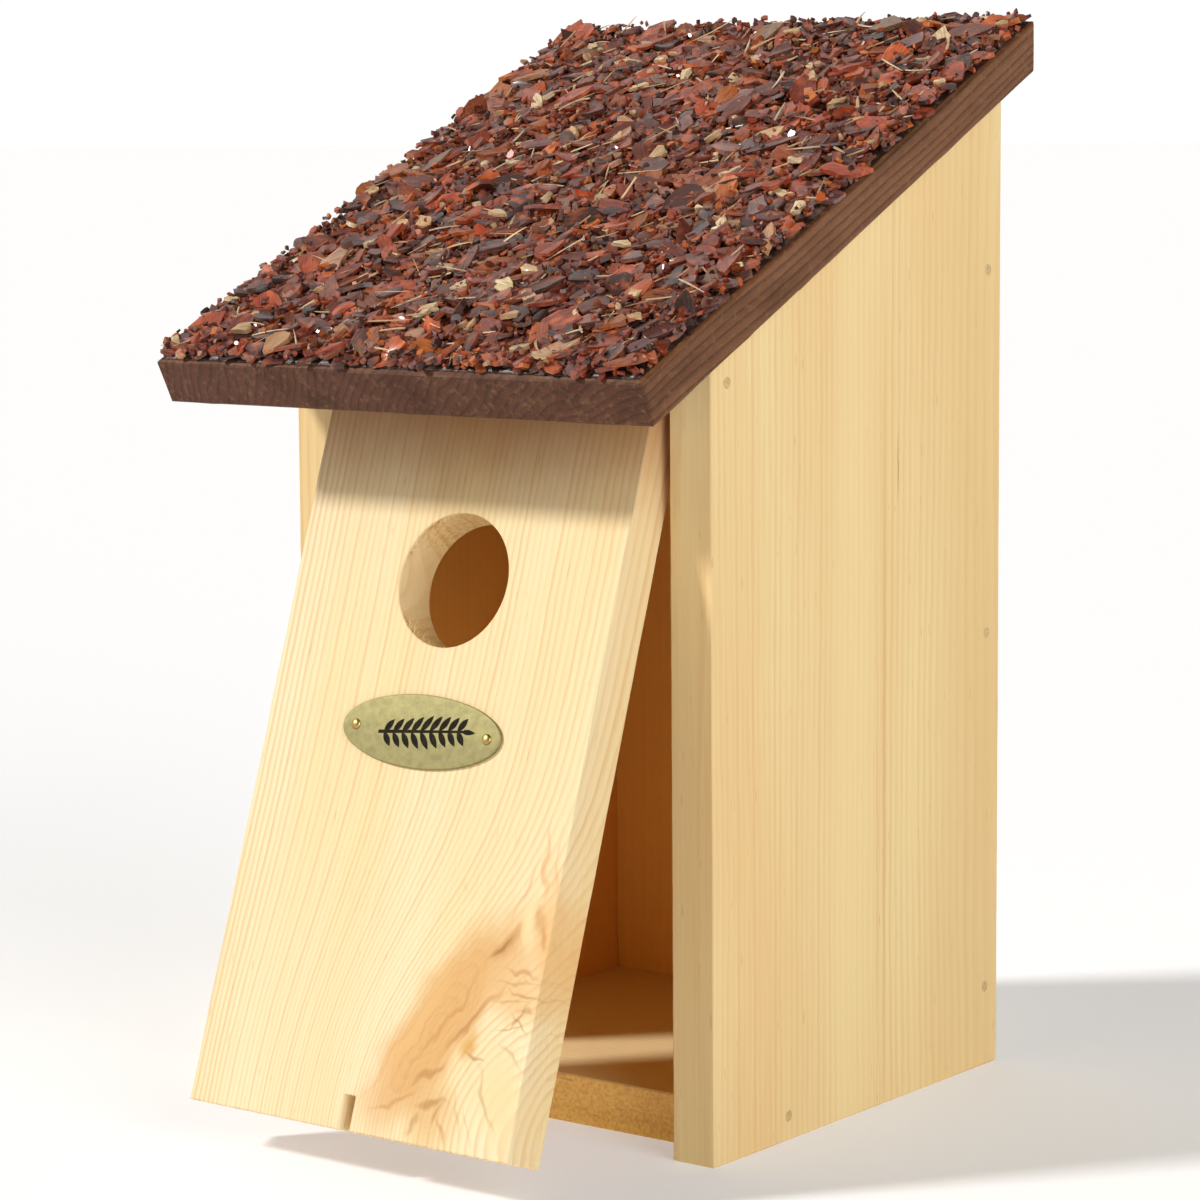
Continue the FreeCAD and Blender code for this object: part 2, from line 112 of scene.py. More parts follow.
def add_node(tree: bpy.types.NodeTree, kind: str, *inputs: object, give: int | str = 0,
             stops: Sequence[tuple[float, Colour | float]] = (), steps: str = "LINEAR",
             **settings: object) -> Socket:
    """Add a node, set its options, fill or link its inputs, and return one output.

    Args:
        tree: node tree that gets the node.
        kind: node type without its ShaderNode prefix, then a space and its operation where it has one.
        *inputs: values or sockets for the first inputs in order, None to leave one alone.
        give: number or name of the output to return.
        stops: position and colour, or grey level, of each stop of a colour ramp.
        steps: how a colour ramp goes from stop to stop.
        **settings: options by their own names, and inputs by their capitalised names.

    Returns:
        The chosen output socket, or the node where it has no outputs.
    """
    kind, _, operation = kind.partition(" ")
    node = tree.nodes.new("ShaderNode" + kind)
    if operation:
        setattr(node, "blend_type" if kind == "MixRGB" else "operation", operation)
    if stops:
        node.color_ramp.interpolation = steps
        elements = node.color_ramp.elements
        elements.remove(elements[-1])
        for number, (position, colour) in enumerate(stops):
            element = elements.new(position) if number else elements[0]
            element.position = position
            element.color = colour if isinstance(colour, tuple) else (colour, colour, colour, 1.0)
    named = {name: value for name, value in settings.items() if name[0].isupper()}
    for name in settings.keys() - named.keys():
        setattr(node, name, settings[name])
    plugs = [(node.inputs[name.replace("_", " ")], value) for name, value in named.items()]
    for socket, value in plugs + list(zip(node.inputs, inputs)):
        if isinstance(value, Socket):
            tree.links.new(value, socket)
        elif value is not None:
            socket.default_value = value
    return node.outputs[give] if node.outputs else node


class Finish:
    """A finish that one material is made of."""

    name: str

    def nodes(self, add: Add) -> Inputs:
        """Add the pattern's nodes with add, and return what the shader's inputs get."""
        raise NotImplementedError

    def build(self) -> Material:
        """Make the material."""
        material = bpy.data.materials.new(self.name)
        material.use_nodes = True
        material.node_tree.nodes.clear()
        add = partial(add_node, material.node_tree)
        add("OutputMaterial", add("BsdfPrincipled", **self.nodes(add)))
        return material

    @staticmethod
    def millimetres(add: Add) -> Socket:
        """Return the place in the frame in millimetres."""
        return add("VectorMath MULTIPLY", add("TexCoord", give="Object"), (1 / MM,) * 3)

    @staticmethod
    def clouds(add: Add, place: Socket, *fields: tuple[Triple | float, float]) -> list[Socket]:
        """Add fields of soft noise.

        Args:
            add: adds a node to the material.
            place: place in millimetres.
            *fields: patches in a millimetre, along each axis or the same all ways, and octaves.

        Returns:
            One field for each entry.
        """
        stretches = [often if isinstance(often, tuple) else (often,) * 3 for often, _ in fields]
        return [add("TexNoise", add("VectorMath MULTIPLY", place, stretch), Scale=1.0, Detail=octaves)
                for stretch, (_, octaves) in zip(stretches, fields)]


@dataclass(frozen=True)
class Mark:
    """A knot, streak or crease in a board's face, or a patch of painted shade: an oval patch of another tone, in board
    millimetres.
    """

    across: float
    up: float
    half_width: float
    half_length: float
    lean: float
    tone: str
    strength: float
    soft: float = 1.0
    ringed: bool = False


@dataclass(frozen=True)
class Swell:
    """A place where the rings are pushed aside, as round a branch, in board millimetres."""

    across: float
    up: float
    reach_across: float
    reach_up: float
    push: float


@dataclass(frozen=True)
class Sawn(Finish):
    """A board cut from a log whose heart runs along it.

    One field of rings gives straight lines on the faces and arcs on the sawn ends.
    """

    name: str
    to_board: Matrix
    heart: tuple[float, float]
    spacing: float = 2.1

    def place(self, add: Add) -> Socket:
        """Return the place in the board's millimetres, its grain along the third axis."""
        move = self.to_board
        return add("Mapping", add("TexCoord", give="Object"), move.to_translation(), move.to_euler(), move.to_scale())

    def from_heart(self, add: Add, place: Socket) -> Socket:
        """Return the distance from the log's heart in millimetres."""
        across = add("VectorMath SUBTRACT", place, (*self.heart, 0.0))
        return add("VectorMath LENGTH", add("VectorMath MULTIPLY", across, (1.0, 1.0, 0.0)), give="Value")

    def grain_way(self) -> Vector:
        """Return the direction of the grain in the frame."""
        return (self.to_board.to_3x3().normalized().inverted() @ Vector((0.0, 0.0, 1.0))).normalized()


@dataclass(frozen=True)
class Pine(Sawn):
    """Planed, unfinished pine: cream early wood with thin tan late-wood lines along the grain.

    Faces that look into the box take another tone, painted bounce light that stands in for the warm light between the
    boards (by default a deeper orange), and rough-sawn faces are darker and fuzzy.
    """

    early: str = "#e2d0a8"
    late: str = "#d2a570"
    warm: str = "#e0c794"
    speck: str = "#b9854c"
    line: float = 0.8
    sway: float = 9.0
    # direction of the faces that look into the box, and the painted bounce light that they take: a warmer tone for the
    # light between the boards
    inward: Triple = (0.0, 0.0, 0.0)
    inner: str = "#fdb94c"
    rough: Triple = (0.0, 0.0, 0.0)
    sawn_tone: str = "#e3c48c"
    curl: float = 6.5
    marks: tuple[Mark, ...] = ()
    swells: tuple[Swell, ...] = ()

    # patches of noise in a millimetre across and along the grain, and octaves
    FIELDS: ClassVar[dict[str, tuple[Triple, float]]] = {
        "sway": ((0.016, 0.016, 0.0035), 1.0),
        "ripple": ((0.11, 0.11, 0.016), 2.0),
        "tremble": ((0.30, 0.30, 0.10), 1.0),
        "tint": ((0.035, 0.035, 0.006), 1.0),
        "fibre": ((1.7, 1.7, 0.035), 2.0),
        "fleck": ((1.5, 1.5, 0.16), 0.0),
        "fuzz": ((1.2, 1.2, 1.2), 3.0),
    }
    # reach of a swell or mark through the board, so that it shows on every face there
    THROUGH: ClassVar[float] = 1e4

    @staticmethod
    def facing(add: Add, way: Sequence[float], start: float) -> Socket:
        """Return 1 where the surface faces a direction and 0 where it doesn't."""
        turned = add("VectorMath DOT_PRODUCT", add("TexCoord", give="Normal"), tuple(way), give="Value")
        return add("MapRange", turned, start, start + 0.3, 0.0, 1.0)

    def ring_count(self, add: Add, place: Socket, fields: dict[str, Socket]) -> Socket:
        """Count the rings from the log's heart.

        Args:
            add: adds a node to the material.
            place: place in the board's millimetres.
            fields: noise fields by name.

        Returns:
            The distance from the heart, in ring widths.
        """
        reach = self.from_heart(add, place)
        for name, amount in (("sway", self.sway), ("ripple", 1.2), ("tremble", 0.6)):
            reach = add("Math MULTIPLY_ADD", fields[name], amount, reach)
        for swell in self.swells:
            near = add("Mapping", place, (swell.across, 0.0, swell.up), (0.0, 0.0, 0.0),
                       (swell.reach_across, self.THROUGH, swell.reach_up), vector_type="TEXTURE")
            square = add("VectorMath DOT_PRODUCT", near, near, give="Value")
            mask = add("Math EXPONENT", add("Math MULTIPLY", square, -1.0))
            reach = add("Math MULTIPLY_ADD", mask, -swell.push, reach)
        return add("Math DIVIDE", reach, self.spacing)

    def draw_marks(self, add: Add, place: Socket, colour: Socket) -> Socket:
        """Lay the board's knots, streaks, creases and patches of painted shade over its colour.

        Args:
            add: adds a node to the material.
            place: place in the board's millimetres.
            colour: colour under the marks.

        Returns:
            The colour with the marks.
        """
        scaled = add("VectorMath MULTIPLY", place, (0.14, 0.14, 0.11))
        curl = add("TexNoise", scaled, Scale=1.0, Detail=2.0, give="Color")
        curl = add("VectorMath MULTIPLY", add("VectorMath SUBTRACT", curl, (0.5, 0.5, 0.5)),
                   (self.curl, 0.0, self.curl))
        warped = add("VectorMath ADD", place, curl)
        for mark in self.marks:
            near = add("Mapping", warped, (mark.across, 0.0, mark.up), (0.0, math.radians(mark.lean), 0.0),
                       (mark.half_width, self.THROUGH, mark.half_length), vector_type="TEXTURE")
            far = add("VectorMath LENGTH", near, give="Value")
            mask = add("MapRange", far, 1.15, 1.15 - mark.soft, 0.0, mark.strength, interpolation_type="SMOOTHSTEP")
            colour = add("MixRGB", mask, colour, linear(mark.tone))
            if mark.ringed:
                contour = add("Math FRACT", add("Math MULTIPLY", far, mark.half_width * 0.75))
                shade = add("ValToRGB", contour, stops=((0.0, 1.0), (0.5, 0.98), (0.85, 0.925), (1.0, 1.0)))
                colour = add("MixRGB MULTIPLY", mask, colour, shade)
        return colour

    def rough_share(self, add: Add) -> Socket:
        """Return 1 on the sawn ends and on the rough face, and 0 on planed wood."""
        ends = add("Math MAXIMUM", *(self.facing(add, way, 0.4) for way in (self.grain_way(), -self.grain_way())))
        return add("Math MAXIMUM", ends, self.facing(add, self.rough, 0.5))

    def nodes(self, add: Add) -> Inputs:
        """Draw rings, fibres, flecks and marks, then the sawn faces, and painted bounce light on the inner faces.

        Args:
            add: adds a node to the material.

        Returns:
            What the shader's inputs get.
        """
        place = self.place(add)
        fields = dict(zip(self.FIELDS, self.clouds(add, place, *self.FIELDS.values())))
        count = self.ring_count(add, place, fields)
        late = add("ValToRGB", add("Math FRACT", count), stops=(
            (0.0, 0.10), (0.10, 0.0), (0.42, 0.10), (0.78, 0.85), (0.90, 1.0), (1.0, 0.10)))
        strength = add("TexWhiteNoise", None, add("Math FLOOR", count), noise_dimensions="1D")
        strength = add("Math MULTIPLY", add("Math MULTIPLY_ADD", strength, 0.7, 0.3), self.line)
        tint = add("ValToRGB", fields["tint"], stops=((0.35, 0.0), (0.68, 1.0)))
        colour = add("MixRGB", tint, linear(self.early), linear(self.warm))
        colour = add("MixRGB", add("Math MULTIPLY", late, strength), colour, linear(self.late))
        grain = add("ValToRGB", fields["fibre"], stops=((0.3, 0.44), (0.7, 0.55)))
        colour = add("MixRGB OVERLAY", 0.45, colour, grain)
        fleck = add("ValToRGB", fields["fleck"], stops=((0.77, 0.0), (0.84, 0.4)))
        colour = add("MixRGB", fleck, colour, linear(self.speck))
        if self.marks:
            colour = self.draw_marks(add, place, colour)
        sawn = self.rough_share(add)
        colour = add("MixRGB MULTIPLY", add("Math MULTIPLY", sawn, 0.55), colour, linear(self.sawn_tone))
        speckle = add("ValToRGB", fields["fuzz"], stops=((0.35, 0.32), (0.65, 0.72)))
        colour = add("MixRGB OVERLAY", add("Math MULTIPLY", sawn, 0.5), colour, speckle)
        # painted bounce light: faces that look into the box take the warmer inner tone, in place of light bouncing
        # between the boards
        painted_bounce_share = add("Math MULTIPLY", self.facing(add, self.inward, 0.55), 0.75)
        colour = add("MixRGB", painted_bounce_share, colour, linear(self.inner))
        relief = add("Math MULTIPLY_ADD", late, 0.25, add("Math MULTIPLY", fields["fibre"], 0.45))
        relief = add("Math MULTIPLY_ADD", add("Math MULTIPLY", fields["fuzz"], sawn), 2.4, relief)
        return {
            "Base_Color": colour, "Roughness": add("Math MULTIPLY_ADD", late, -0.08, 0.68),
            "IOR": 1.45, "Specular_IOR_Level": 0.3,
            "Normal": add("Bump", Strength=0.6, Distance=0.14 * MM, Height=relief)}


@dataclass(frozen=True)
class StainedPine(Sawn):
    """Roof board in dark brown stain: rings show darker, the sawn end is purplish, dust greys the sides."""

    heart: tuple[float, float] = (6.0, -64.0)
    spacing: float = 2.3
    base: str = "#7a4e30"
    dark: str = "#352014"
    end: str = "#5a3422"
    dust: str = "#8a6848"

    def nodes(self, add: Add) -> Inputs:
        """Draw rings, blotches of stain and dust.

        Args:
            add: adds a node to the material.

        Returns:
            What the shader's inputs get.
        """
        place = self.place(add)
        wander, blotch, grit, dusting = self.clouds(
            add, place, ((0.05, 0.05, 0.008), 2.0), ((0.10, 0.10, 0.03), 3.0), ((2.2, 2.2, 1.6), 3.0),
            ((0.6, 0.6, 0.4), 4.0))
        reach = add("Math MULTIPLY_ADD", wander, 9.0, self.from_heart(add, place))
        share = add("Math FRACT", add("Math DIVIDE", reach, self.spacing))
        late = add("ValToRGB", share, stops=((0.0, 0.0), (0.5, 0.2), (0.85, 1.0), (1.0, 0.0)))
        along = add("VectorMath DOT_PRODUCT", add("TexCoord", give="Normal"), tuple(self.grain_way()), give="Value")
        sawn = add("MapRange", add("Math ABSOLUTE", along), 0.4, 0.8, 0.0, 1.0)
        colour = add("MixRGB", sawn, linear(self.base), linear(self.end))
        colour = add("MixRGB", add("Math MULTIPLY", late, 0.65), colour, linear(self.dark))
        for cloud, stops, tone in ((blotch, ((0.42, 0.0), (0.75, 0.6)), self.dark),
                                   (dusting, ((0.54, 0.0), (0.78, 0.45)), self.dust),
                                   (grit, ((0.64, 0.0), (0.76, 0.35)), self.dust)):
            colour = add("MixRGB", add("ValToRGB", cloud, stops=stops), colour, linear(tone))
        relief = add("Math MULTIPLY_ADD", late, 0.25, grit)
        return {
            "Base_Color": colour, "IOR": 1.48, "Specular_IOR_Level": 0.22,
            "Roughness": add("ValToRGB", blotch, stops=((0.3, 0.45), (0.7, 0.66))),
            "Normal": add("Bump", Strength=0.8, Distance=0.25 * MM, Height=relief)}


@dataclass(frozen=True)
class Bark(Finish):
    """Conifer bark flakes wetted by clear glue: fibrous, red-brown to purple-grey, under a gloss coat.

    Each flake carries its own tint and its own millimetres in attributes, so streaks run along it.
    """

    name: str = "pine_bark_in_clear_glue"
    palette: tuple[tuple[float, str], ...] = (
        (0.00, "#38180f"), (0.10, "#4f2013"), (0.22, "#6e2a16"), (0.35, "#863214"), (0.47, "#613329"),
        (0.56, "#934218"), (0.64, "#704a40"), (0.72, "#87421f"), (0.80, "#5a3c38"), (0.86, "#a4571f"),
        (0.91, "#967050"), (0.95, "#3b231c"))
    streak_tone: str = "#27110c"
    patch_tone: str = "#a8552c"

    def nodes(self, add: Add) -> Inputs:
        """Give each flake its tint, its streaks and its gloss.

        Args:
            add: adds a node to the material.

        Returns:
            What the shader's inputs get.
        """
        tint = add("Attribute", attribute_name="tint", give="Color")
        pick, light, gloss = (add("SeparateColor", tint, give=number) for number in range(3))
        own = add("Attribute", attribute_name="own_mm", give="Vector")
        streak, patch = self.clouds(add, own, ((0.3, 2.0, 2.0), 3.0), ((0.25, 0.34, 0.34), 2.0))
        colour = add("ValToRGB", pick, stops=[(at, linear(tone)) for at, tone in self.palette], steps="CONSTANT")
        for cloud, start, tone in ((streak, 0.32, self.streak_tone), (patch, 0.50, self.patch_tone)):
            colour = add("MixRGB", add("ValToRGB", cloud, stops=((start, 0.0), (0.72, 0.6))), colour, linear(tone))
        bright = add("Math MULTIPLY_ADD", light, 1.25, 0.60)
        colour = add("MixRGB MULTIPLY", 1.0, colour, add("CombineColor", bright, bright, bright))
        relief = add("Math MULTIPLY_ADD", patch, 0.8, streak)
        return {
            "Base_Color": colour, "Roughness": add("Math MULTIPLY_ADD", gloss, 0.30, 0.36),
            "IOR": 1.45, "Specular_IOR_Level": 0.35, "Coat_Weight": 0.45, "Coat_Roughness": 0.2,
            "Normal": add("Bump", Strength=0.8, Distance=0.25 * MM, Height=relief)}


@dataclass(frozen=True)
class Sliver(Finish):
    """Splinters, shavings and inner-bark bits caught in the glue: cream to straw, faintly fibrous."""

    name: str = "pale_wood_slivers"
    palette: tuple[tuple[float, str], ...] = (
        (0.0, "#e6d2a8"), (0.3, "#c79a68"), (0.55, "#dcc69a"), (0.75, "#b08254"), (1.0, "#c2b084"))
    streak_tone: str = "#7f5634"

    def nodes(self, add: Add) -> Inputs:
        """Give each splinter its tint and its streaks.

        Args:
            add: adds a node to the material.

        Returns:
            What the shader's inputs get.
        """
        pick = add("SeparateColor", add("Attribute", attribute_name="tint", give="Color"))
        own = add("Attribute", attribute_name="own_mm", give="Vector")
        colour = add("ValToRGB", pick, stops=[(at, linear(tone)) for at, tone in self.palette])
        streak, = self.clouds(add, own, ((0.3, 2.2, 2.2), 3.0))
        lines = add("ValToRGB", streak, stops=((0.35, 0.0), (0.7, 0.65)))
        return {
            "Base_Color": add("MixRGB", lines, colour, linear(self.streak_tone)), "Roughness": 0.45,
            "Coat_Weight": 0.3, "Coat_Roughness": 0.2,
            "Normal": add("Bump", Strength=0.6, Distance=0.2 * MM, Height=streak)}


@dataclass(frozen=True)
class TornFibre(Finish):
    """Wood hairs that saw and drill left: dry, matt and pale, a shade darker here and there."""

    name: str = "torn_pine_fibres"

    def nodes(self, add: Add) -> Inputs:
        """Mix an uneven pale tone with no gloss.

        Args:
            add: adds a node to the material.

        Returns:
            What the shader's inputs get.
        """
        patch, = self.clouds(add, self.millimetres(add), (0.5, 2.0))
        colour = add("ValToRGB", patch, stops=((0.35, linear("#ecd9ae")), (0.68, linear("#bf935a"))))
        return {"Base_Color": colour, "Roughness": 0.8, "Specular_IOR_Level": 0.2}


@dataclass(frozen=True)
class Glue(Finish):
    """Dried clear glue over stain: dark, wet-looking and lumpy, with milky patches where it is thick."""

    name: str = "dried_clear_glue"
    thin: str = "#26140e"
    thick: str = "#7d665a"

    def nodes(self, add: Add) -> Inputs:
        """Mix thin and thick glue in clouds.

        Args:
            add: adds a node to the material.

        Returns:
            What the shader's inputs get.
        """
        cloud, grit = self.clouds(add, self.millimetres(add), (0.35, 3.0), (1.1, 3.0))
        milky = add("ValToRGB", cloud, stops=((0.50, 0.0), (0.74, 0.8)))
        return {
            "Base_Color": add("MixRGB", milky, linear(self.thin), linear(self.thick)), "Roughness": 0.42,
            "IOR": 1.48, "Specular_IOR_Level": 0.35, "Coat_Weight": 0.15, "Coat_Roughness": 0.3,
            "Normal": add("Bump", Strength=0.7, Distance=0.4 * MM, Height=grit)}


@dataclass(frozen=True)
class Metal(Finish):
    """A plain metal with slight mottling: brass sheet, steel nails, zinc-plated iron."""

    name: str
    tone: str
    stain: str
    roughness: float
    mottle_mm: float
    stain_share: float = 0.5

    def nodes(self, add: Add) -> Inputs:
        """Mottle the metal with its stain.

        Args:
            add: adds a node to the material.

        Returns:
            What the shader's inputs get.
        """
        patch, fine = self.clouds(add, self.millimetres(add), (1 / self.mottle_mm, 3.0), (3.0, 3.0))
        mask = add("ValToRGB", patch, stops=((0.35, 0.0), (0.70, self.stain_share)))
        return {
            "Base_Color": add("MixRGB", mask, linear(self.tone), linear(self.stain)), "Metallic": 1.0,
            "Roughness": add("Math MULTIPLY_ADD", fine, 0.18, self.roughness),
            "Normal": add("Bump", Strength=0.25, Distance=0.05 * MM, Height=fine)}


@dataclass(frozen=True)
class Ink(Finish):
    """Black-brown enamel print on the plate, a little worn."""

    name: str = "dark_enamel_print"
    fresh: str = "#1a150c"
    worn: str = "#3a3420"

    def nodes(self, add: Add) -> Inputs:
        """Mix a matt dark tone that is paler where it is worn.

        Args:
            add: adds a node to the material.

        Returns:
            What the shader's inputs get.
        """
        patch, = self.clouds(add, self.millimetres(add), (0.8, 2.0))
        wear = add("ValToRGB", patch, stops=((0.4, 0.0), (0.8, 0.5)))
        return {"Base_Color": add("MixRGB", wear, linear(self.fresh), linear(self.worn)), "Roughness": 0.75,
                "Specular_IOR_Level": 0.1}


@dataclass(frozen=True)
class Backdrop(Finish):
    """Matt white paper that the box stands on."""

    name: str = "white_paper"

    def nodes(self, add: Add) -> Inputs:
        """Return a white that glows a little, so that the paper stays white under the lights."""
        return {"Base_Color": linear("#d6d6d6"), "Roughness": 0.9, "Specular_IOR_Level": 0.0,
                "Emission_Color": linear("#ffffff"), "Emission_Strength": 0.36}


# ---------------------------------------------------------------- mesh helpers


def as_mesh(shape: Shape, name: str) -> Mesh:
    """Turn a working shape into a mesh and free it.

    Args:
        shape: working shape.
        name: name of the mesh.

    Returns:
        The mesh.
    """
    mesh = bpy.data.meshes.new(name)
    shape.to_mesh(mesh)
    shape.free()
    return mesh


def put(name: str, data: bpy.types.ID) -> bpy.types.Object:
    """Make an object and link it to the scene.

    Args:
        name: name of the object.
        data: its mesh, light or camera.

    Returns:
        The object.
    """
    item = bpy.data.objects.new(name, data)
    bpy.context.scene.collection.objects.link(item)
    return item


def flatten_faces(mesh: Mesh, least: float) -> None:
    """Shade a board's own faces flat, so that nothing smears over them from the rim of a hole.

    Args:
        mesh: mesh of the board, all smooth.
        least: area from which a face counts as one of the board's own.
    """
    level = 0.9999
    kept: list[Vector] = []
    for way in {face.normal.copy().freeze() for face in mesh.polygons if face.area > least}:
        if all(way.dot(other) < level for other in kept):
            kept.append(way)
    for face in mesh.polygons:
        if any(face.normal.dot(way) > level for way in kept):
            face.use_smooth = False


def place_piece(name: str, shape: Shape | Mesh, material: Material, body: Body, slot: Slot,
                stands_for: Sequence[str] = (), smooth_below: float = 35.0, flat_from: float = 0.0) -> None:
    """Turn a finished shape into a piece of the model.

    Args:
        name: name of the piece.
        shape: mesh, already in its place in the frame.
        material: finish of the piece.
        body: body that it rides on.
        slot: material slot of the record; not used.
        stands_for: CAD nodes that it replaces.
        smooth_below: edges that turn less than this many degrees are shaded smooth.
        flat_from: area from which a face and those level with it are shaded flat, 0 for none.
    """
    mesh = as_mesh(shape, name) if isinstance(shape, Shape) else shape
    mesh.polygons.foreach_set("use_smooth", [True] * len(mesh.polygons))
    mesh.set_sharp_from_angle(angle=math.radians(smooth_below))
    if flat_from:
        flatten_faces(mesh, flat_from)
    mesh.materials.append(material)
    piece = put(name, mesh)
    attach(piece, body.value)
    if stands_for:
        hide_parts(*stands_for)
    LOG.info("%s: %d faces", name, len(mesh.polygons))


def dress_node(node: str, material: Material) -> None:
    """Give a CAD node that keeps its shape a better finish.

    Args:
        node: CAD node.
        material: its finish.
    """
    mesh = frame["nodes"][node].data
    mesh.materials.clear()
    mesh.materials.append(material)
    LOG.info("%s: dressed", node)


def node_spots(node: str, to_local: Matrix) -> list[Vector]:
    """Return the corners of a CAD node in another frame."""
    return [to_local @ corner.co for corner in frame["nodes"][node].data.vertices]


def span(spots: Iterable[Vector], axis: int) -> tuple[float, float]:
    """Return the least and greatest place along an axis."""
    values = [spot[axis] for spot in spots]
    return min(values), max(values)


def thicken(bm: Shape, way: Sequence[float], least_sides: int = 3) -> list[Corner]:
    """Extrude a flat shape into a plate.

    Args:
        bm: mesh of the shape.
        way: where the new side goes.
        least_sides: only faces with at least this many sides are extruded.

    Returns:
        The corners of the new side.
    """
    faces = [face for face in bm.faces if len(face.verts) >= least_sides]
    grown = bmesh.ops.extrude_face_region(bm, geom=faces)
    lifted = [item for item in grown["geom"] if isinstance(item, Corner)]
    bmesh.ops.translate(bm, vec=way, verts=lifted)
    return lifted


def join_flat(bm: Shape) -> None:
    """Join faces that lie level with each other."""
    bmesh.ops.dissolve_limit(bm, angle_limit=math.radians(0.5), verts=bm.verts[:], edges=bm.edges[:])


def cut_grid(bm: Shape, low: Sequence[float], high: Sequence[float], step: float, axes: Sequence[int]) -> None:
    """Cut a board into slices square to its axes, so that its long faces can be worked.

    Args:
        bm: mesh to cut.
        low: lowest corner of the board.
        high: highest corner of the board.
        step: greatest width of a slice.
        axes: numbers of the axes, in the order of cutting.
    """
    for axis in axes:
        way = Vector((axis == 0, axis == 1, axis == 2))
        count = max(1, math.ceil((high[axis] - low[axis]) / step))
        for cut in range(1, count):
            where = low[axis] + (high[axis] - low[axis]) * cut / count
            bmesh.ops.bisect_plane(bm, geom=bm.verts[:] + bm.edges[:] + bm.faces[:], dist=1e-7,
                                   plane_co=way * where, plane_no=way)
    bm.verts.index_update()


def arrises(bm: Shape, least_turn: float, shortest: float) -> list[bmesh.types.BMEdge]:
    """Return the edges that turn more than some degrees and are longer than the rim pieces of a hole."""
    return [edge for edge in bm.edges if len(edge.link_faces) == 2
            and edge.calc_face_angle(0.0) > math.radians(least_turn) and edge.calc_length() > shortest]


def ease_edges(bm: Shape, width: float, shortest: float) -> None:
    """Round every arris that is longer than the rim pieces of a small hole."""
    bmesh.ops.bevel(bm, geom=arrises(bm, 40, shortest), offset=width, offset_type="OFFSET", segments=2,
                    profile=0.5, affect="EDGES", material=-1, clamp_overlap=True)


def wear_edges(bm: Shape, depth: float, patch: float, seed: float, shortest: float) -> None:
    """Push the corners along the arrises in and out a little, as a plane and a saw leave them.

    Args:
        bm: mesh with eased arrises.
        depth: greatest push.
        patch: size of one dent along the arris.
        seed: moves the pattern.
        shortest: edges shorter than this, such as the rim pieces of a nail hole, stay as they are.
    """
    bm.normal_update()
    turned = {corner for edge in arrises(bm, 30, shortest) for corner in edge.verts}
    rims = {corner for edge in bm.edges for corner in edge.verts if edge.calc_face_angle(0.0) > math.radians(60)}
    for corner in sorted(turned - rims, key=lambda item: item.index):
        dent = noise.noise(corner.co / patch + Vector((seed, seed, seed)))
        corner.co -= corner.normal * depth * max(0.0, 0.35 + dent)


# ---------------------------------------------------------------- boards


@dataclass
class PanelFrame:
    """The front's own frame: millimetres about the pivot, with the front shut, and what lies in it."""

    # where the entrance is looked for: half its width, and its least and greatest height
    bore_half: float = 18.0
    bore_band: tuple[float, float] = (-75.0, -25.0)
    to_world: Matrix = field(init=False)
    spots: list[Vector] = field(init=False)

    def __post_init__(self) -> None:
        """Read the pivot, the angle that the front stands open, and the board's sides and bore."""
        joint = next(item for item in frame["joints"] if item["name"] == "front_swing")
        ajar = math.radians(-joint["range_deg"][0])
        turn = Matrix.Rotation(ajar, 4, Vector(joint["axis"]))
        self.to_world = Matrix.Translation(joint["pos_m"]) @ turn @ Matrix.Scale(MM, 4)
        self.to_local = self.to_world.inverted()
        self.spots = node_spots("front_panel", self.to_local)
        (self.left, self.right), (self.face, self.back), (self.foot, self.head) = (
            span(self.spots, axis) for axis in range(3))
        low, high = span([spot for spot in self.spots if abs(spot.x) < self.bore_half
                          and self.bore_band[0] < spot.z < self.bore_band[1]], 2)
        self.bore_up, self.bore_radius = (low + high) / 2, (high - low) / 2

    def settle(self, bm: Shape) -> Shape:
        """Put a shape made in this frame in its place."""
        bmesh.ops.transform(bm, matrix=self.to_world, verts=bm.verts[:])
        return bm


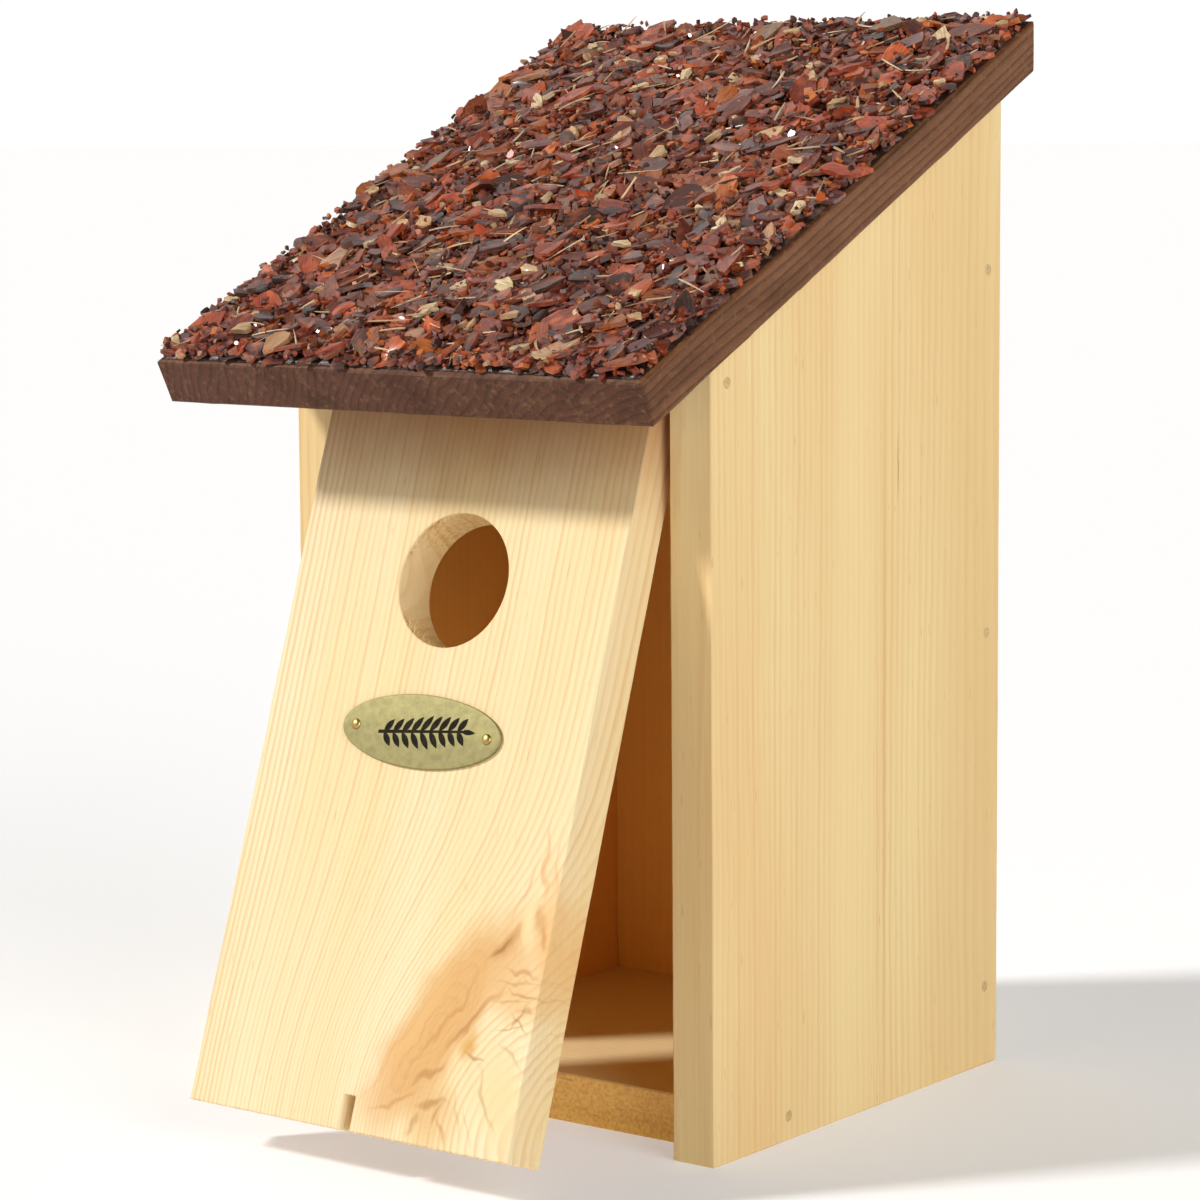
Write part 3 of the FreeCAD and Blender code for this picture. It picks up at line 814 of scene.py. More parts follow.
@dataclass
class FrontPanel:
    """The swing-out front board with its round entrance and its latch slot."""

    panel: PanelFrame
    arris: float = 0.45
    shortest_arris: float = 0.3
    hole_steps: int = 120
    grid: float = 6.0
    # where the latch slot is looked for: half its width, and height above the foot
    slot_reach: tuple[float, float] = (4.0, 15.0)
    # greatest push, size of a dent, seed, and shortest worn edge
    wear: tuple[float, float, float, float] = (0.2, 9.0, 3.0, 1.2)
    crisp: float = 20.0
    flat: float = 15 * MM * MM

    MARKS: ClassVar[tuple[tuple, ...]] = (
        # across, up from the foot, half width, half length, lean, tone, strength, softness, ringed
        # the first mark is painted shade: a brown patch at the top of the board, where the roof's shadow falls
        (0.0, 175.0, 150.0, 30.0, 0.0, "#8e4e14", 0.72), (21.5, 28.0, 11.0, 33.0, 30.0, "#cb9756", 0.80, 0.65, True),
        (14.5, 25.0, 3.6, 22.0, 29.0, "#d6aa6e", 0.60), (40.0, 46.0, 11.0, 14.0, 8.0, "#cfa064", 0.60),
        (23.0, 8.0, 11.0, 10.0, 60.0, "#cb9c5c", 0.60, 1.0, True), (41.5, 37.0, 11.0, 6.5, 8.0, "#d6ad74", 0.70),
        (42.0, 15.0, 8.5, 15.0, -20.0, "#dfc592", 0.85), (36.8, 48.6, 2.5, 7.0, 46.0, "#b07c42", 0.62),
        (35.2, 47.2, 1.0, 3.8, 46.0, "#8c5826", 0.60), (45.0, 52.5, 1.8, 6.4, -30.0, "#b07c42", 0.55),
        (46.4, 50.0, 0.9, 3.0, -24.0, "#8c5826", 0.50), (47.5, 50.0, 4.0, 22.0, -8.0, "#d8a35e", 0.55),
        (41.6, 53.5, 2.0, 9.5, -4.0, "#e2c894", 0.90), (42.6, 67.0, 0.9, 12.0, -8.0, "#c98a4a", 0.50),
        (38.6, 61.0, 0.8, 9.0, 16.0, "#c68c50", 0.42), (46.0, 67.0, 0.7, 10.0, -4.0, "#cf9c62", 0.40),
        (42.0, 42.0, 0.65, 6.4, 97.0, "#b07a42", 0.55), (41.0, 40.0, 0.50, 7.8, 84.0, "#b8864e", 0.50),
        (43.5, 37.6, 0.60, 5.8, 99.0, "#b07a42", 0.55), (40.0, 35.6, 0.50, 6.4, 80.0, "#b8864e", 0.50),
        (43.6, 33.0, 0.50, 4.2, 30.0, "#a56e38", 0.50), (44.8, 31.6, 0.50, 4.4, -52.0, "#a56e38", 0.50),
        (41.6, 30.4, 0.50, 5.0, 78.0, "#a56e38", 0.45), (45.4, 34.6, 0.45, 3.0, 88.0, "#a56e38", 0.45),
        (30.6, 29.5, 1.3, 14.0, 37.0, "#a8682c", 0.60), (31.8, 24.6, 2.6, 4.4, 20.0, "#c58e38", 0.75),
        (33.4, 22.0, 0.6, 3.0, -64.0, "#9c6430", 0.55), (21.5, 16.0, 1.0, 6.0, 58.0, "#a56e38", 0.55),
        (13.5, 9.0, 0.8, 8.0, 62.0, "#b07c46", 0.45), (23.6, 9.6, 1.2, 5.0, 74.0, "#a06a34", 0.60),
        (25.8, 7.4, 0.8, 3.4, 24.0, "#a06a34", 0.50), (18.8, 4.0, 0.9, 4.6, 30.0, "#a56e38", 0.50),
        (27.8, 4.0, 0.7, 4.4, -24.0, "#b07c46", 0.45), (38.4, 13.0, 0.70, 9.8, -29.0, "#ab8a58", 0.50),
        (43.6, 23.4, 0.70, 6.8, -57.0, "#b39262", 0.45), (31.5, 8.0, 0.60, 8.0, -16.0, "#b8945e", 0.40),
        (35.0, 6.0, 0.50, 6.0, -20.0, "#b8945e", 0.35), (20.0, 23.0, 0.70, 18.0, 31.0, "#bb8548", 0.40),
        (25.0, 31.5, 0.60, 16.0, 33.0, "#b87f42", 0.40), (16.8, 24.0, 0.50, 19.0, 29.0, "#c08c50", 0.35),
        (10.5, 21.0, 0.60, 20.0, 27.0, "#c8955a", 0.40),
    )

    def shape(self) -> Shape:
        """Build the board about the pivot in millimetres and put it in its place."""
        panel = self.panel
        slot = [spot for spot in panel.spots
                if abs(spot.x) < self.slot_reach[0] and spot.z < panel.foot + self.slot_reach[1]]
        slot_half, slot_top = span(slot, 0)[1], span(slot, 2)[1]
        corners = ((panel.left, panel.foot), (-slot_half, panel.foot), (-slot_half, slot_top), (slot_half, slot_top),
                   (slot_half, panel.foot), (panel.right, panel.foot), (panel.right, panel.head),
                   (panel.left, panel.head))
        bm = bmesh.new()
        outline = [bm.verts.new((across, panel.face, up)) for across, up in corners]
        for start, stop in zip(outline, outline[1:] + outline[:1]):
            bm.edges.new((start, stop))
        bmesh.ops.create_circle(bm, cap_ends=False, segments=self.hole_steps, radius=panel.bore_radius,
                                matrix=Matrix.Translation((0.0, panel.face, panel.bore_up)) @ STAND)
        bmesh.ops.triangle_fill(bm, use_beauty=True, use_dissolve=False, edges=bm.edges[:], normal=(0.0, -1.0, 0.0))
        thicken(bm, (0.0, panel.back - panel.face, 0.0))
        bmesh.ops.recalc_face_normals(bm, faces=bm.faces[:])
        join_flat(bm)
        ease_edges(bm, self.arris, self.shortest_arris)
        cut_grid(bm, (panel.left, panel.face, panel.foot), (panel.right, panel.back, panel.head), self.grid, (0, 2, 1))
        wear_edges(bm, *self.wear)
        return panel.settle(bm)

    def finish(self) -> Pine:
        """Return pine with a big spike knot at the lower right, its rings leaning round it, and painted shade at its
        top under the roof.
        """
        foot = self.panel.foot
        marks = tuple(Mark(across, up + foot, *rest) for across, up, *rest in self.MARKS)
        return Pine("planed_pine_front", self.panel.to_local, heart=(84.0, 22.0), spacing=1.75, marks=marks,
                    swells=(Swell(32.0, foot + 4.0, 47.0, 46.0, 40.0),), line=0.75, sway=7.0,
                    sawn_tone="#fff4de", inner="#f3cf88",
                    inward=tuple(self.panel.to_world.to_3x3().normalized() @ Vector((0.0, 1.0, 0.0))))

    def build(self) -> None:
        """Make the piece."""
        place_piece("front_panel_board", self.shape(), self.finish().build(), Body.FRONT, Slot.PINE,
                    ("front_panel",), self.crisp, self.flat)


@dataclass
class HouseBoards:
    """The boards that are nailed together: two sides, the back, the floor and the roof board."""

    # rounding of the arrises and how far they wander, for planed boards and for the roof board
    planed: tuple[float, float] = (0.45 * MM, 0.14 * MM)
    roof: tuple[float, float] = (0.8 * MM, 0.35 * MM)
    dent: float = 11 * MM
    rim: float = 1.3 * MM
    chip: float = 1.4 * MM
    crisp: float = 20.0
    flat: float = 20 * MM * MM
    grid: float = 7.0 * MM

    def eased(self, node: str, arris: float, wear: float) -> Shape:
        """Copy a board from the frame, ease its arrises and leave them slightly uneven.

        Args:
            node: CAD node of the board.
            arris: width of the rounding.
            wear: how far the arrises wander.

        Returns:
            The board's mesh in its place.
        """
        bm = bmesh.new()
        bm.from_mesh(frame["nodes"][node].data)
        bmesh.ops.remove_doubles(bm, verts=bm.verts[:], dist=1e-6)
        join_flat(bm)
        ease_edges(bm, arris, self.rim)
        low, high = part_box(node)
        cut_grid(bm, low, high, self.grid, (0, 1, 2))
        wear_edges(bm, wear, self.dent, low.x * 100 + low.y * 10, self.rim)
        return bm

    def knock_corner(self, bm: Shape, rear: float) -> None:
        """Knock the lower rear corner off a side board, as a dropped box has it.

        Args:
            bm: mesh of the board.
            rear: place of its rear edge.
        """
        made = bmesh.ops.bisect_plane(bm, geom=bm.verts[:] + bm.edges[:] + bm.faces[:], dist=1e-7,
                                      plane_co=Vector((0.0, rear - self.chip, 0.0)),
                                      plane_no=Vector((0.0, 1.0, -1.0)).normalized(), clear_outer=True)
        bmesh.ops.edgeloop_fill(bm, edges=[item for item in made["geom_cut"] if isinstance(item, bmesh.types.BMEdge)])

    @staticmethod
    def upright(origin: Vector, turn: float = 0.0) -> Matrix:
        """Return the map from the frame to a board's millimetres with its grain upright."""
        return Matrix.Scale(1 / MM, 4) @ Matrix.Rotation(turn, 4, "Z") @ Matrix.Translation(-origin)

    def finishes(self) -> dict[str, Pine]:
        """Return the finish of each planed or sawn board."""
        half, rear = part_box("right_side")[1].x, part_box("back_panel")[1].y
        tones = {"early": "#e2ca94", "late": "#cfa56c", "warm": "#dfbf88"}
        streaks = (Mark(5.0, 100.0, 11.0, 190.0, 0.0, "#e4cc96", 0.60, 0.8),
                   Mark(-50.0, 100.0, 27.0, 240.0, 0.0, "#d0ae74", 0.36),
                   Mark(-9.0, 90.0, 1.0, 130.0, 0.0, "#c8965a", 0.50),
                   Mark(-6.0, 60.0, 0.6, 90.0, 0.0, "#cc9c60", 0.35),
                   Mark(-15.0, 157.0, 0.35, 11.0, 0.0, "#9c6c3c", 0.70))
        lengthwise = Matrix.Scale(1 / MM, 4) @ Matrix.Rotation(-math.pi / 2, 4, "Y")
        return {
            "right_side": Pine("planed_pine_right_side", self.upright(Vector((half, 0, 0)), math.pi / 2),
                               heart=(-74.0, -42.0), line=0.5, sway=8.0, marks=streaks, curl=0.9,
                               inward=(-1.0, 0.0, 0.0), **tones),
            "left_side": Pine("planed_pine_left_side", self.upright(Vector((-half, 0, 0))), heart=(50.0, -84.0),
                              spacing=2.3, line=0.6, inward=(1.0, 0.0, 0.0), **tones),
            "back_panel": Pine("planed_pine_back", self.upright(Vector((0, rear, 0))), heart=(-78.0, -50.0),
                               spacing=2.2, line=0.65, inward=(0.0, -1.0, 0.0), **tones),
            "floor_board": Pine("rough_sawn_pine_floor", lengthwise, heart=(-24.0, 30.0), spacing=2.6,
                                early="#e8bf78", late="#c08c40", warm="#dcae5c", line=0.6,
                                inward=(0.0, 0.0, 1.0), inner="#f0d8a6", rough=(0.0, -1.0, 0.0),
                                sawn_tone="#fff0c8")}

    def build(self) -> None:
        """Make the boards."""
        for node, finish in self.finishes().items():
            board = self.eased(node, *self.planed)
            if node == "right_side":
                self.knock_corner(board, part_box(node)[1].y)
            place_piece(node + "_board", board, finish.build(), Body.HOUSE, Slot.PINE, (node,), self.crisp, self.flat)
        stained = StainedPine("dark_stained_pine_roof", roof_plane().to_board)
        place_piece("roof_board_stained", self.eased("roof_board", *self.roof), stained.build(), Body.HOUSE,
                    Slot.STAIN, ("roof_board",), self.crisp, self.flat)


# ---------------------------------------------------------------- roof and bark


@dataclass(frozen=True)
class RoofPlane:
    """The roof board's top face: a corner, the directions across and up the slope, and its size."""

    corner: Vector
    up_slope: Vector
    normal: Vector
    width: float
    length: float

    @property
    def to_world(self) -> Matrix:
        """Map millimetres across, up the slope and off the face to the frame."""
        axes = Matrix((Vector((1, 0, 0)), self.up_slope, self.normal)).transposed().to_4x4()
        return Matrix.Translation(self.corner) @ axes @ Matrix.Scale(MM, 4)

    @property
    def to_board(self) -> Matrix:
        """Map the frame to the board's millimetres: across, off the face, along the grain."""
        swap = Matrix(((1, 0, 0, 0), (0, 0, 1, 0), (0, 1, 0, 0), (0, 0, 0, 1)))
        return Matrix.Diagonal((-1, 1, 1, 1)) @ swap @ self.to_world.inverted()


def roof_plane() -> RoofPlane:
    """Read the roof board's top face from the frame."""
    mesh = frame["nodes"]["roof_board"].data
    top = max((face for face in mesh.polygons if face.normal.z > 0.5), key=lambda face: face.area)
    normal = top.normal.copy()
    up_slope = normal.cross(Vector((-1, 0, 0))).normalized()
    level = normal.dot(mesh.vertices[top.vertices[0]].co)
    spots = [corner.co for corner in mesh.vertices if abs(normal.dot(corner.co) - level) < 1e-5]
    start, stop = span([Vector((0, up_slope.dot(spot), 0)) for spot in spots], 1)
    left, right = span(spots, 0)
    corner = Vector((left, 0, 0)) + up_slope * start + normal * level
    return RoofPlane(corner, up_slope, normal, (right - left) / MM, (stop - start) / MM)


@dataclass
class ChipHeap:
    """Copies of a few chip shapes, each with its own tint, gathered into one mesh."""

    places: list[Vector] = field(default_factory=list)
    faces: list[tuple[int, ...]] = field(default_factory=list)
    tints: list[Colour] = field(default_factory=list)
    owns: list[Vector] = field(default_factory=list)

    def add(self, template: Mesh, size: Vector, move: Matrix, tint: Triple) -> None:
        """Add one copy.

        Args:
            template: chip shape one unit long, wide and thick.
            size: length, width and thickness in millimetres.
            move: turns and places the sized chip.
            tint: three shares that pick its colour, lightness and gloss.
        """
        start = len(self.places)
        shift = Vector((tint[0] * 97, tint[1] * 89, tint[2] * 83))
        for corner in template.vertices:
            own = corner.co * size
            self.places.append(move @ own)
            self.owns.append(own + shift)
            self.tints.append((*tint, 1.0))
        self.faces.extend(tuple(start + index for index in face.vertices) for face in template.polygons)

    def mesh(self, name: str) -> Mesh:
        """Turn the heap into one mesh with its tint and own-millimetre attributes.

        Args:
            name: name of the mesh.

        Returns:
            The mesh.
        """
        mesh = bpy.data.meshes.new(name)
        mesh.from_pydata(self.places, [], self.faces)
        for label, kind, channel, rows in (("tint", "FLOAT_COLOR", "color", self.tints),
                                           ("own_mm", "FLOAT_VECTOR", "vector", self.owns)):
            mesh.attributes.new(label, kind, "POINT").data.foreach_set(
                channel, [value for row in rows for value in row])
        mesh.update()
        return mesh


@dataclass(frozen=True)
class Layer:
    """Chips that are dropped over the roof together."""

    shapes: list[Mesh]
    count: int
    # one chip's length, width and thickness in millimetres
    size: Callable[[], Vector]
    # least and greatest height of a chip's middle above the board
    lift: tuple[float, float]
    # greatest lean of a chip in degrees
    tilt: float
    # least distance of a chip's middle from the board's edge
    margin: float


@dataclass
class BarkRoof:
    """Bark flakes, crumbs, splinters and glue on the roof board."""

    plane: RoofPlane
    seed: int = 11
    shapes: int = 28
    edge: float = 1.2
    glue_grid: tuple[int, int] = (90, 110)
    glue_beads: int = 95
    all_smooth: float = 180.0

    def __post_init__(self) -> None:
        """Make the random source and the chip shapes."""
        self.dice = random.Random(self.seed)
        self.flakes = [self.flake_shape(9, 0.62, True) for _ in range(self.shapes)]
        self.crumbs = [self.flake_shape(6, 0.75, False) for _ in range(self.shapes)]
        self.slivers = [self.sliver_shape() for _ in range(self.shapes // 2)]

    def flake_shape(self, sides: int, squareness: float, inset: bool) -> Mesh:
        """Model one broken flake a unit long, wide and thick.

        Args:
            sides: corners of its outline.
            squareness: how far the corners stay from the ends of an oval.
            inset: True for a worn upper face.

        Returns:
            The flake's mesh.
        """
        dice = self.dice
        bm = bmesh.new()
        bmesh.ops.create_circle(bm, cap_ends=True, segments=sides, radius=0.5)
        for corner in bm.verts:
            swell = dice.uniform(squareness, 1.12)
            corner.co.x *= swell * dice.uniform(0.88, 1.12)
            corner.co.y *= swell
        lifted = thicken(bm, (0.0, 0.0, 1.0))
        if inset:
            top = [face for face in bm.faces if all(corner in lifted for corner in face.verts)]
            bmesh.ops.inset_region(bm, faces=top, thickness=dice.uniform(0.05, 0.12),
                                   depth=dice.uniform(0.0, 0.2), use_even_offset=True)
        bmesh.ops.recalc_face_normals(bm, faces=bm.faces[:])
        curl, twist, lean = dice.uniform(-2.2, 3.0), dice.uniform(-1.2, 1.2), dice.uniform(-0.5, 0.5)
        for corner in bm.verts:
            across, along = corner.co.y, corner.co.x
            corner.co.z += curl * across * across + twist * across * along + lean * along * along
            corner.co.z += dice.uniform(-0.12, 0.12)
        return as_mesh(bm, "flake_shape")

    def sliver_shape(self) -> Mesh:
        """Model one splinter a unit long, wide and thick, thin at its ends and a little bent."""
        dice = self.dice
        bm = bmesh.new()
        bmesh.ops.create_cone(bm, cap_ends=True, segments=5, radius1=0.5, radius2=0.2, depth=1.0, matrix=LIE)
        long_edges = [edge for edge in bm.edges if abs(edge.verts[0].co.x - edge.verts[1].co.x) > 0.5]
        bmesh.ops.subdivide_edges(bm, edges=long_edges, cuts=3, use_grid_fill=False)
        bow, sway = dice.uniform(-1.5, 2.5), dice.uniform(-1.5, 1.5)
        for corner in bm.verts:
            taper = 1.0 - 1.5 * corner.co.x ** 2
            corner.co.y = corner.co.y * taper * dice.uniform(0.8, 1.2) + sway * (0.25 - corner.co.x ** 2)
            corner.co.z = corner.co.z * taper * dice.uniform(0.8, 1.2) + bow * (0.25 - corner.co.x ** 2)
        return as_mesh(bm, "sliver_shape")

    def scatter(self, heap: ChipHeap, layer: Layer) -> None:
        """Drop a layer's chips over the roof, in an even but random spread.

        Args:
            heap: where the copies go.
            layer: shapes, sizes and heights of the chips.
        """
        dice, plane, margin = self.dice, self.plane, layer.margin
        columns = max(1, round(math.sqrt(layer.count * plane.width / plane.length)))
        rows = max(1, round(layer.count / columns))
        lean = math.radians(layer.tilt) / 2
        for number in range(columns * rows):
            column, row = number % columns, number // columns
            along = margin + (plane.width - 2 * margin) * (column + dice.uniform(-0.35, 1.35)) / columns
            up = margin + (plane.length - 2 * margin) * (row + dice.uniform(-0.35, 1.35)) / rows
            chip = layer.size()
            room = margin + 0.12 * chip.x
            along = min(max(along, room), plane.width - room)
            up = min(max(up, room), plane.length - room)
            turn = Euler((dice.gauss(0, lean), dice.gauss(0, lean), dice.uniform(0, math.tau)))
            spot = Matrix.Translation((along, up, dice.uniform(*layer.lift)))
            move = plane.to_world @ spot @ turn.to_matrix().to_4x4()
            heap.add(dice.choice(layer.shapes), chip, move, (dice.random(), dice.random(), dice.random()))

    def flake_size(self, least: float, greatest: float) -> Vector:
        """Return a flake's length, width and thickness."""
        length = self.dice.triangular(least, greatest, least + 0.3 * (greatest - least))
        return Vector((length, length * self.dice.uniform(0.32, 0.75), self.dice.uniform(0.5, 1.3)))

    def crumb_size(self) -> Vector:
        """Return a crumb's length, width and thickness."""
        length = self.dice.triangular(0.8, 3.6, 1.4)
        return Vector((length, length * self.dice.uniform(0.4, 0.9), self.dice.uniform(0.4, 1.1)))

    def sliver_size(self) -> Vector:
        """Return a splinter's length, width and thickness."""
        length = self.dice.triangular(3.0, 15.0, 6.0)
        return Vector((length, self.dice.uniform(0.35, 1.1), self.dice.uniform(0.3, 0.6)))

    def bed_shape(self) -> Shape:
        """Model the lumpy film of glue that the bark lies in."""
        plane = self.plane
        across, along = self.glue_grid
        bm = bmesh.new()
        bmesh.ops.create_grid(bm, x_segments=across, y_segments=along, size=0.5)
        bmesh.ops.scale(bm, vec=(plane.width - 2 * self.edge, plane.length - 2 * self.edge, 1.0),
                        verts=bm.verts[:])
        bmesh.ops.translate(bm, vec=(plane.width / 2, plane.length / 2, 0.0), verts=bm.verts[:])
        for corner in thicken(bm, (0.0, 0.0, 0.0)):
            rim = min(corner.co.x, plane.width - corner.co.x, corner.co.y, plane.length - corner.co.y)
            lump = noise.fractal(corner.co / 5.0, 1.0, 2.0, 3)
            corner.co.z = (0.75 + 0.55 * lump) * min(1.0, 0.25 + (rim - self.edge) / 2.0)
        bmesh.ops.recalc_face_normals(bm, faces=bm.faces[:])
        bmesh.ops.transform(bm, matrix=plane.to_world, verts=bm.verts[:])
        return bm

    def bead_shapes(self) -> Shape:
        """Model the beads and runs of glue along the lower edge of the roof."""
        dice, plane = self.dice, self.plane
        bm = bmesh.new()
        for _ in range(self.glue_beads):
            along = dice.uniform(2.0, plane.width - 2.0)
            length, width, height = dice.uniform(1.0, 5.0), dice.uniform(0.5, 1.2), dice.uniform(0.25, 0.7)
            shape = Matrix.Translation((along, dice.uniform(0.3, 1.3), dice.uniform(0.0, 0.35)))
            shape @= Matrix.Rotation(dice.uniform(-0.3, 0.3), 4, "Z")
            shape @= Matrix.Diagonal((length, width, height, 1.0))
            bmesh.ops.create_icosphere(bm, subdivisions=2, radius=0.5, matrix=plane.to_world @ shape)
        return bm

    def build(self) -> None:
        """Make the glue bed, the layers of chips from the lowest up, and the beads of glue."""
        bark, sliver, glue = Bark().build(), Sliver().build(), Glue().build()
        place_piece("roof_glue_bed", self.bed_shape(), glue, Body.HOUSE, Slot.BARK, ("bark_layer",), self.all_smooth)
        heaps = {
            "bark_flakes_lower": (
                bark, Layer(self.flakes, 1900, partial(self.flake_size, 4.0, 10.5), (0.3, 1.3), 16.0, 1.6)),
            "bark_flakes_upper": (
                bark, Layer(self.flakes, 1100, partial(self.flake_size, 5.0, 15.5), (1.1, 2.3), 22.0, 3.2)),
            "bark_crumbs": (bark, Layer(self.crumbs, 6800, self.crumb_size, (0.4, 2.9), 50.0, 1.0)),
            "wood_splinters": (
                sliver, Layer(self.slivers, 340, self.sliver_size, (2.0, 3.8), 16.0, 3.0),
                Layer(self.flakes, 100, partial(self.flake_size, 1.6, 9.5), (1.9, 2.9), 26.0, 4.0)),
        }
        for name, (finish, *layers) in heaps.items():
            heap = ChipHeap()
            for layer in layers:
                self.scatter(heap, layer)
            place_piece(name, heap.mesh(name), finish, Body.HOUSE, Slot.BARK)
        place_piece("front_edge_glue_beads", self.bead_shapes(), glue, Body.HOUSE, Slot.BARK, (), self.all_smooth)


@dataclass
class SawFibres:
    """Torn fibres along the front's sawn foot and round the rim of its bore."""

    panel: PanelFrame
    seed: int = 5
    foot_hairs: int = 130
    rim_hairs: int = 110
    slot_gap: float = 3.0

    def hair_shape(self) -> Mesh:
        """Model one hair a unit long, wide and thick, from its root to its tip."""
        bm = bmesh.new()
        bmesh.ops.create_cone(bm, cap_ends=True, segments=4, radius1=0.5, radius2=0.1, depth=1.0,
                              matrix=Matrix.Translation((0.5, 0.0, 0.0)) @ LIE)
        return as_mesh(bm, "hair_shape")

    def roots(self, dice: random.Random) -> list[tuple[Vector, Vector]]:
        """Return where each hair starts and which way it lies, in the panel's millimetres.

        Args:
            dice: random source.

        Returns:
            Root and direction of each hair.
        """
        panel, found = self.panel, []
        for _ in range(self.foot_hairs):
            across = dice.uniform(panel.left + 1.0, panel.right - 1.0)
            if abs(across) > self.slot_gap:
                way = Vector((dice.choice((-1.0, 1.0)), dice.uniform(-0.2, 0.0), dice.uniform(-0.25, 0.15)))
                found.append((Vector((across, panel.face + dice.uniform(0.1, 0.5), panel.foot + 0.1)), way))
        for _ in range(self.rim_hairs):
            turn = dice.choice((0.72, 1.28)) * math.pi + dice.gauss(0.0, 0.35)
            rim = Vector((panel.bore_radius * math.cos(turn), panel.face + dice.uniform(0.1, 1.2),
                          panel.bore_up + panel.bore_radius * math.sin(turn)))
            way = Vector((dice.uniform(0.0, 0.7), dice.uniform(-0.12, 0.3), -math.copysign(1.0, math.sin(turn))))
            found.append((rim, way))
        return found

    def build(self) -> None:
        """Make the hairs."""
        dice = random.Random(self.seed)
        heap, hair = ChipHeap(), self.hair_shape()
        for root, way in self.roots(dice):
            size = Vector((dice.triangular(0.3, 2.0, 0.7), dice.uniform(0.10, 0.26), dice.uniform(0.08, 0.18)))
            turn = Vector((1.0, 0.0, 0.0)).rotation_difference(way).to_matrix().to_4x4()
            heap.add(hair, size, self.panel.to_world @ Matrix.Translation(root) @ turn, (0.5, 0.5, 0.5))
        place_piece("front_saw_fibres", heap.mesh("front_saw_fibres"), TornFibre().build(), Body.FRONT, Slot.PINE)


# ---------------------------------------------------------------- plate, hook and hanger


@dataclass
class OvalPlate:
    """The oval brass plate on the front, with a plain leaf sprig and two domed pins."""

    panel: PanelFrame
    lip: float = 0.25
    steps: int = 96
    leaf_steps: int = 24
    bow: float = 1.1
    bow_reach: float = 9.0
    pitch: float = 2.7
    tip: float = 11.9

    def shape(self) -> Shape:
        """Build the plate in the panel's millimetres with a rounded rim and put it in its place."""
        spots = node_spots("nameplate", self.panel.to_local)
        (left, right), (face, back), (low, high) = (span(spots, axis) for axis in range(3))
        bm = bmesh.new()
        middle = Matrix.Translation(((left + right) / 2, back, (low + high) / 2))
        middle @= STAND @ Matrix.Diagonal(((right - left), (high - low), 1, 1))
        bmesh.ops.create_circle(bm, cap_ends=True, segments=self.steps, radius=0.5, matrix=middle)
        lifted = thicken(bm, (0.0, face - back, 0.0))
        bmesh.ops.recalc_face_normals(bm, faces=bm.faces[:])
        rim = [edge for edge in bm.edges if all(corner in lifted for corner in edge.verts)]
        bmesh.ops.bevel(bm, geom=rim, offset=self.lip, segments=3, profile=0.5, affect="EDGES", material=-1)
        return self.panel.settle(bm)

    def bend(self, along: float) -> float:
        """Return how far the stem stands off its middle line."""
        return self.bow * math.sin(along / self.bow_reach)

    def leaf(self, bm: Shape, length: float, width: float, place: Matrix) -> None:
        """Add one pointed leaf, thin and flat, to the print.

        Args:
            bm: mesh of the print.
            length: leaf from stalk to tip.
            width: leaf across.
            place: puts the leaf's stalk in the panel's frame.
        """
        made = bmesh.ops.create_circle(bm, cap_ends=True, segments=self.leaf_steps, radius=0.5)
        for corner in made["verts"]:
            share = corner.co.x + 0.5
            corner.co.y *= width * 2.2 * math.sqrt(max(0.0, share)) * (1.0 - share) ** 0.6
            corner.co.x = share * length
            corner.co = place @ corner.co

    def print_shape(self) -> Shape:
        """Build a sprig of plain leaves as a thin print on the plate."""
        spots = node_spots("nameplate", self.panel.to_local)
        face, (low, high) = span(spots, 1)[0], span(spots, 2)
        stand = Matrix.Translation((0.0, face - 0.03, (low + high) / 2)) @ STAND
        bm = bmesh.new()
        stem = bmesh.ops.create_cone(bm, cap_ends=True, segments=4, radius1=0.42, radius2=0.28, depth=25.0,
                                     matrix=LIE)
        for corner in stem["verts"]:
            corner.co.z *= 0.08
            corner.co = stand @ (corner.co + Vector((0.0, self.bend(corner.co.x), 0.0)))
        for step in range(-4, 5):
            along = step * self.pitch
            for side in (-1, 1):
                base = Matrix.Translation((along, self.bend(along), 0.0))
                turn = Matrix.Rotation(side * math.radians(52), 4, "Z")
                self.leaf(bm, 5.1 - 0.26 * abs(step), 1.6, stand @ base @ turn)
        self.leaf(bm, 4.2, 1.2, stand @ Matrix.Translation((self.tip, self.bend(self.tip), 0.0)))
        thicken(bm, (0.0, -0.02, 0.0), self.leaf_steps)
        bmesh.ops.recalc_face_normals(bm, faces=bm.faces[:])
        return self.panel.settle(bm)

    def build(self) -> None:
        """Make the plate and its print and dress the pins."""
        brass = Metal("worn_brass_sheet", "#a39a6c", "#8d8660", 0.60, 1.8, 0.8).build()
        pin = Metal("brass_pin", "#c9a868", "#6e5530", 0.3, 1.2).build()
        place_piece("oval_plate", self.shape(), brass, Body.FRONT, Slot.BRASS, ("nameplate",))
        place_piece("leaf_sprig_print", self.print_shape(), Ink().build(), Body.FRONT, Slot.BRASS)
        for node in ("nameplate_pin_left", "nameplate_pin_right"):
            dress_node(node, pin)


@dataclass
class Hardware:
    """Nails, latch hook and hanging plate, which keep their CAD shapes."""

    def build(self) -> None:
        """Dress the metal pieces."""
        finishes = {
            "_nail_": Metal("bright_wire_nail", "#e6cf9c", "#b79c68", 0.55, 0.8, 0.6).build(),
            "latch_hook": Metal("yellow_zinc_wire", "#d6c48a", "#a8925c", 0.28, 2.0).build(),
            "hanger_": Metal("zinc_plated_sheet", "#c3c6c8", "#9da1a5", 0.33, 3.5).build()}
        for node in frame["nodes"]:
            for part, finish in finishes.items():
                if part in node:
                    dress_node(node, finish)


# ---------------------------------------------------------------- stage


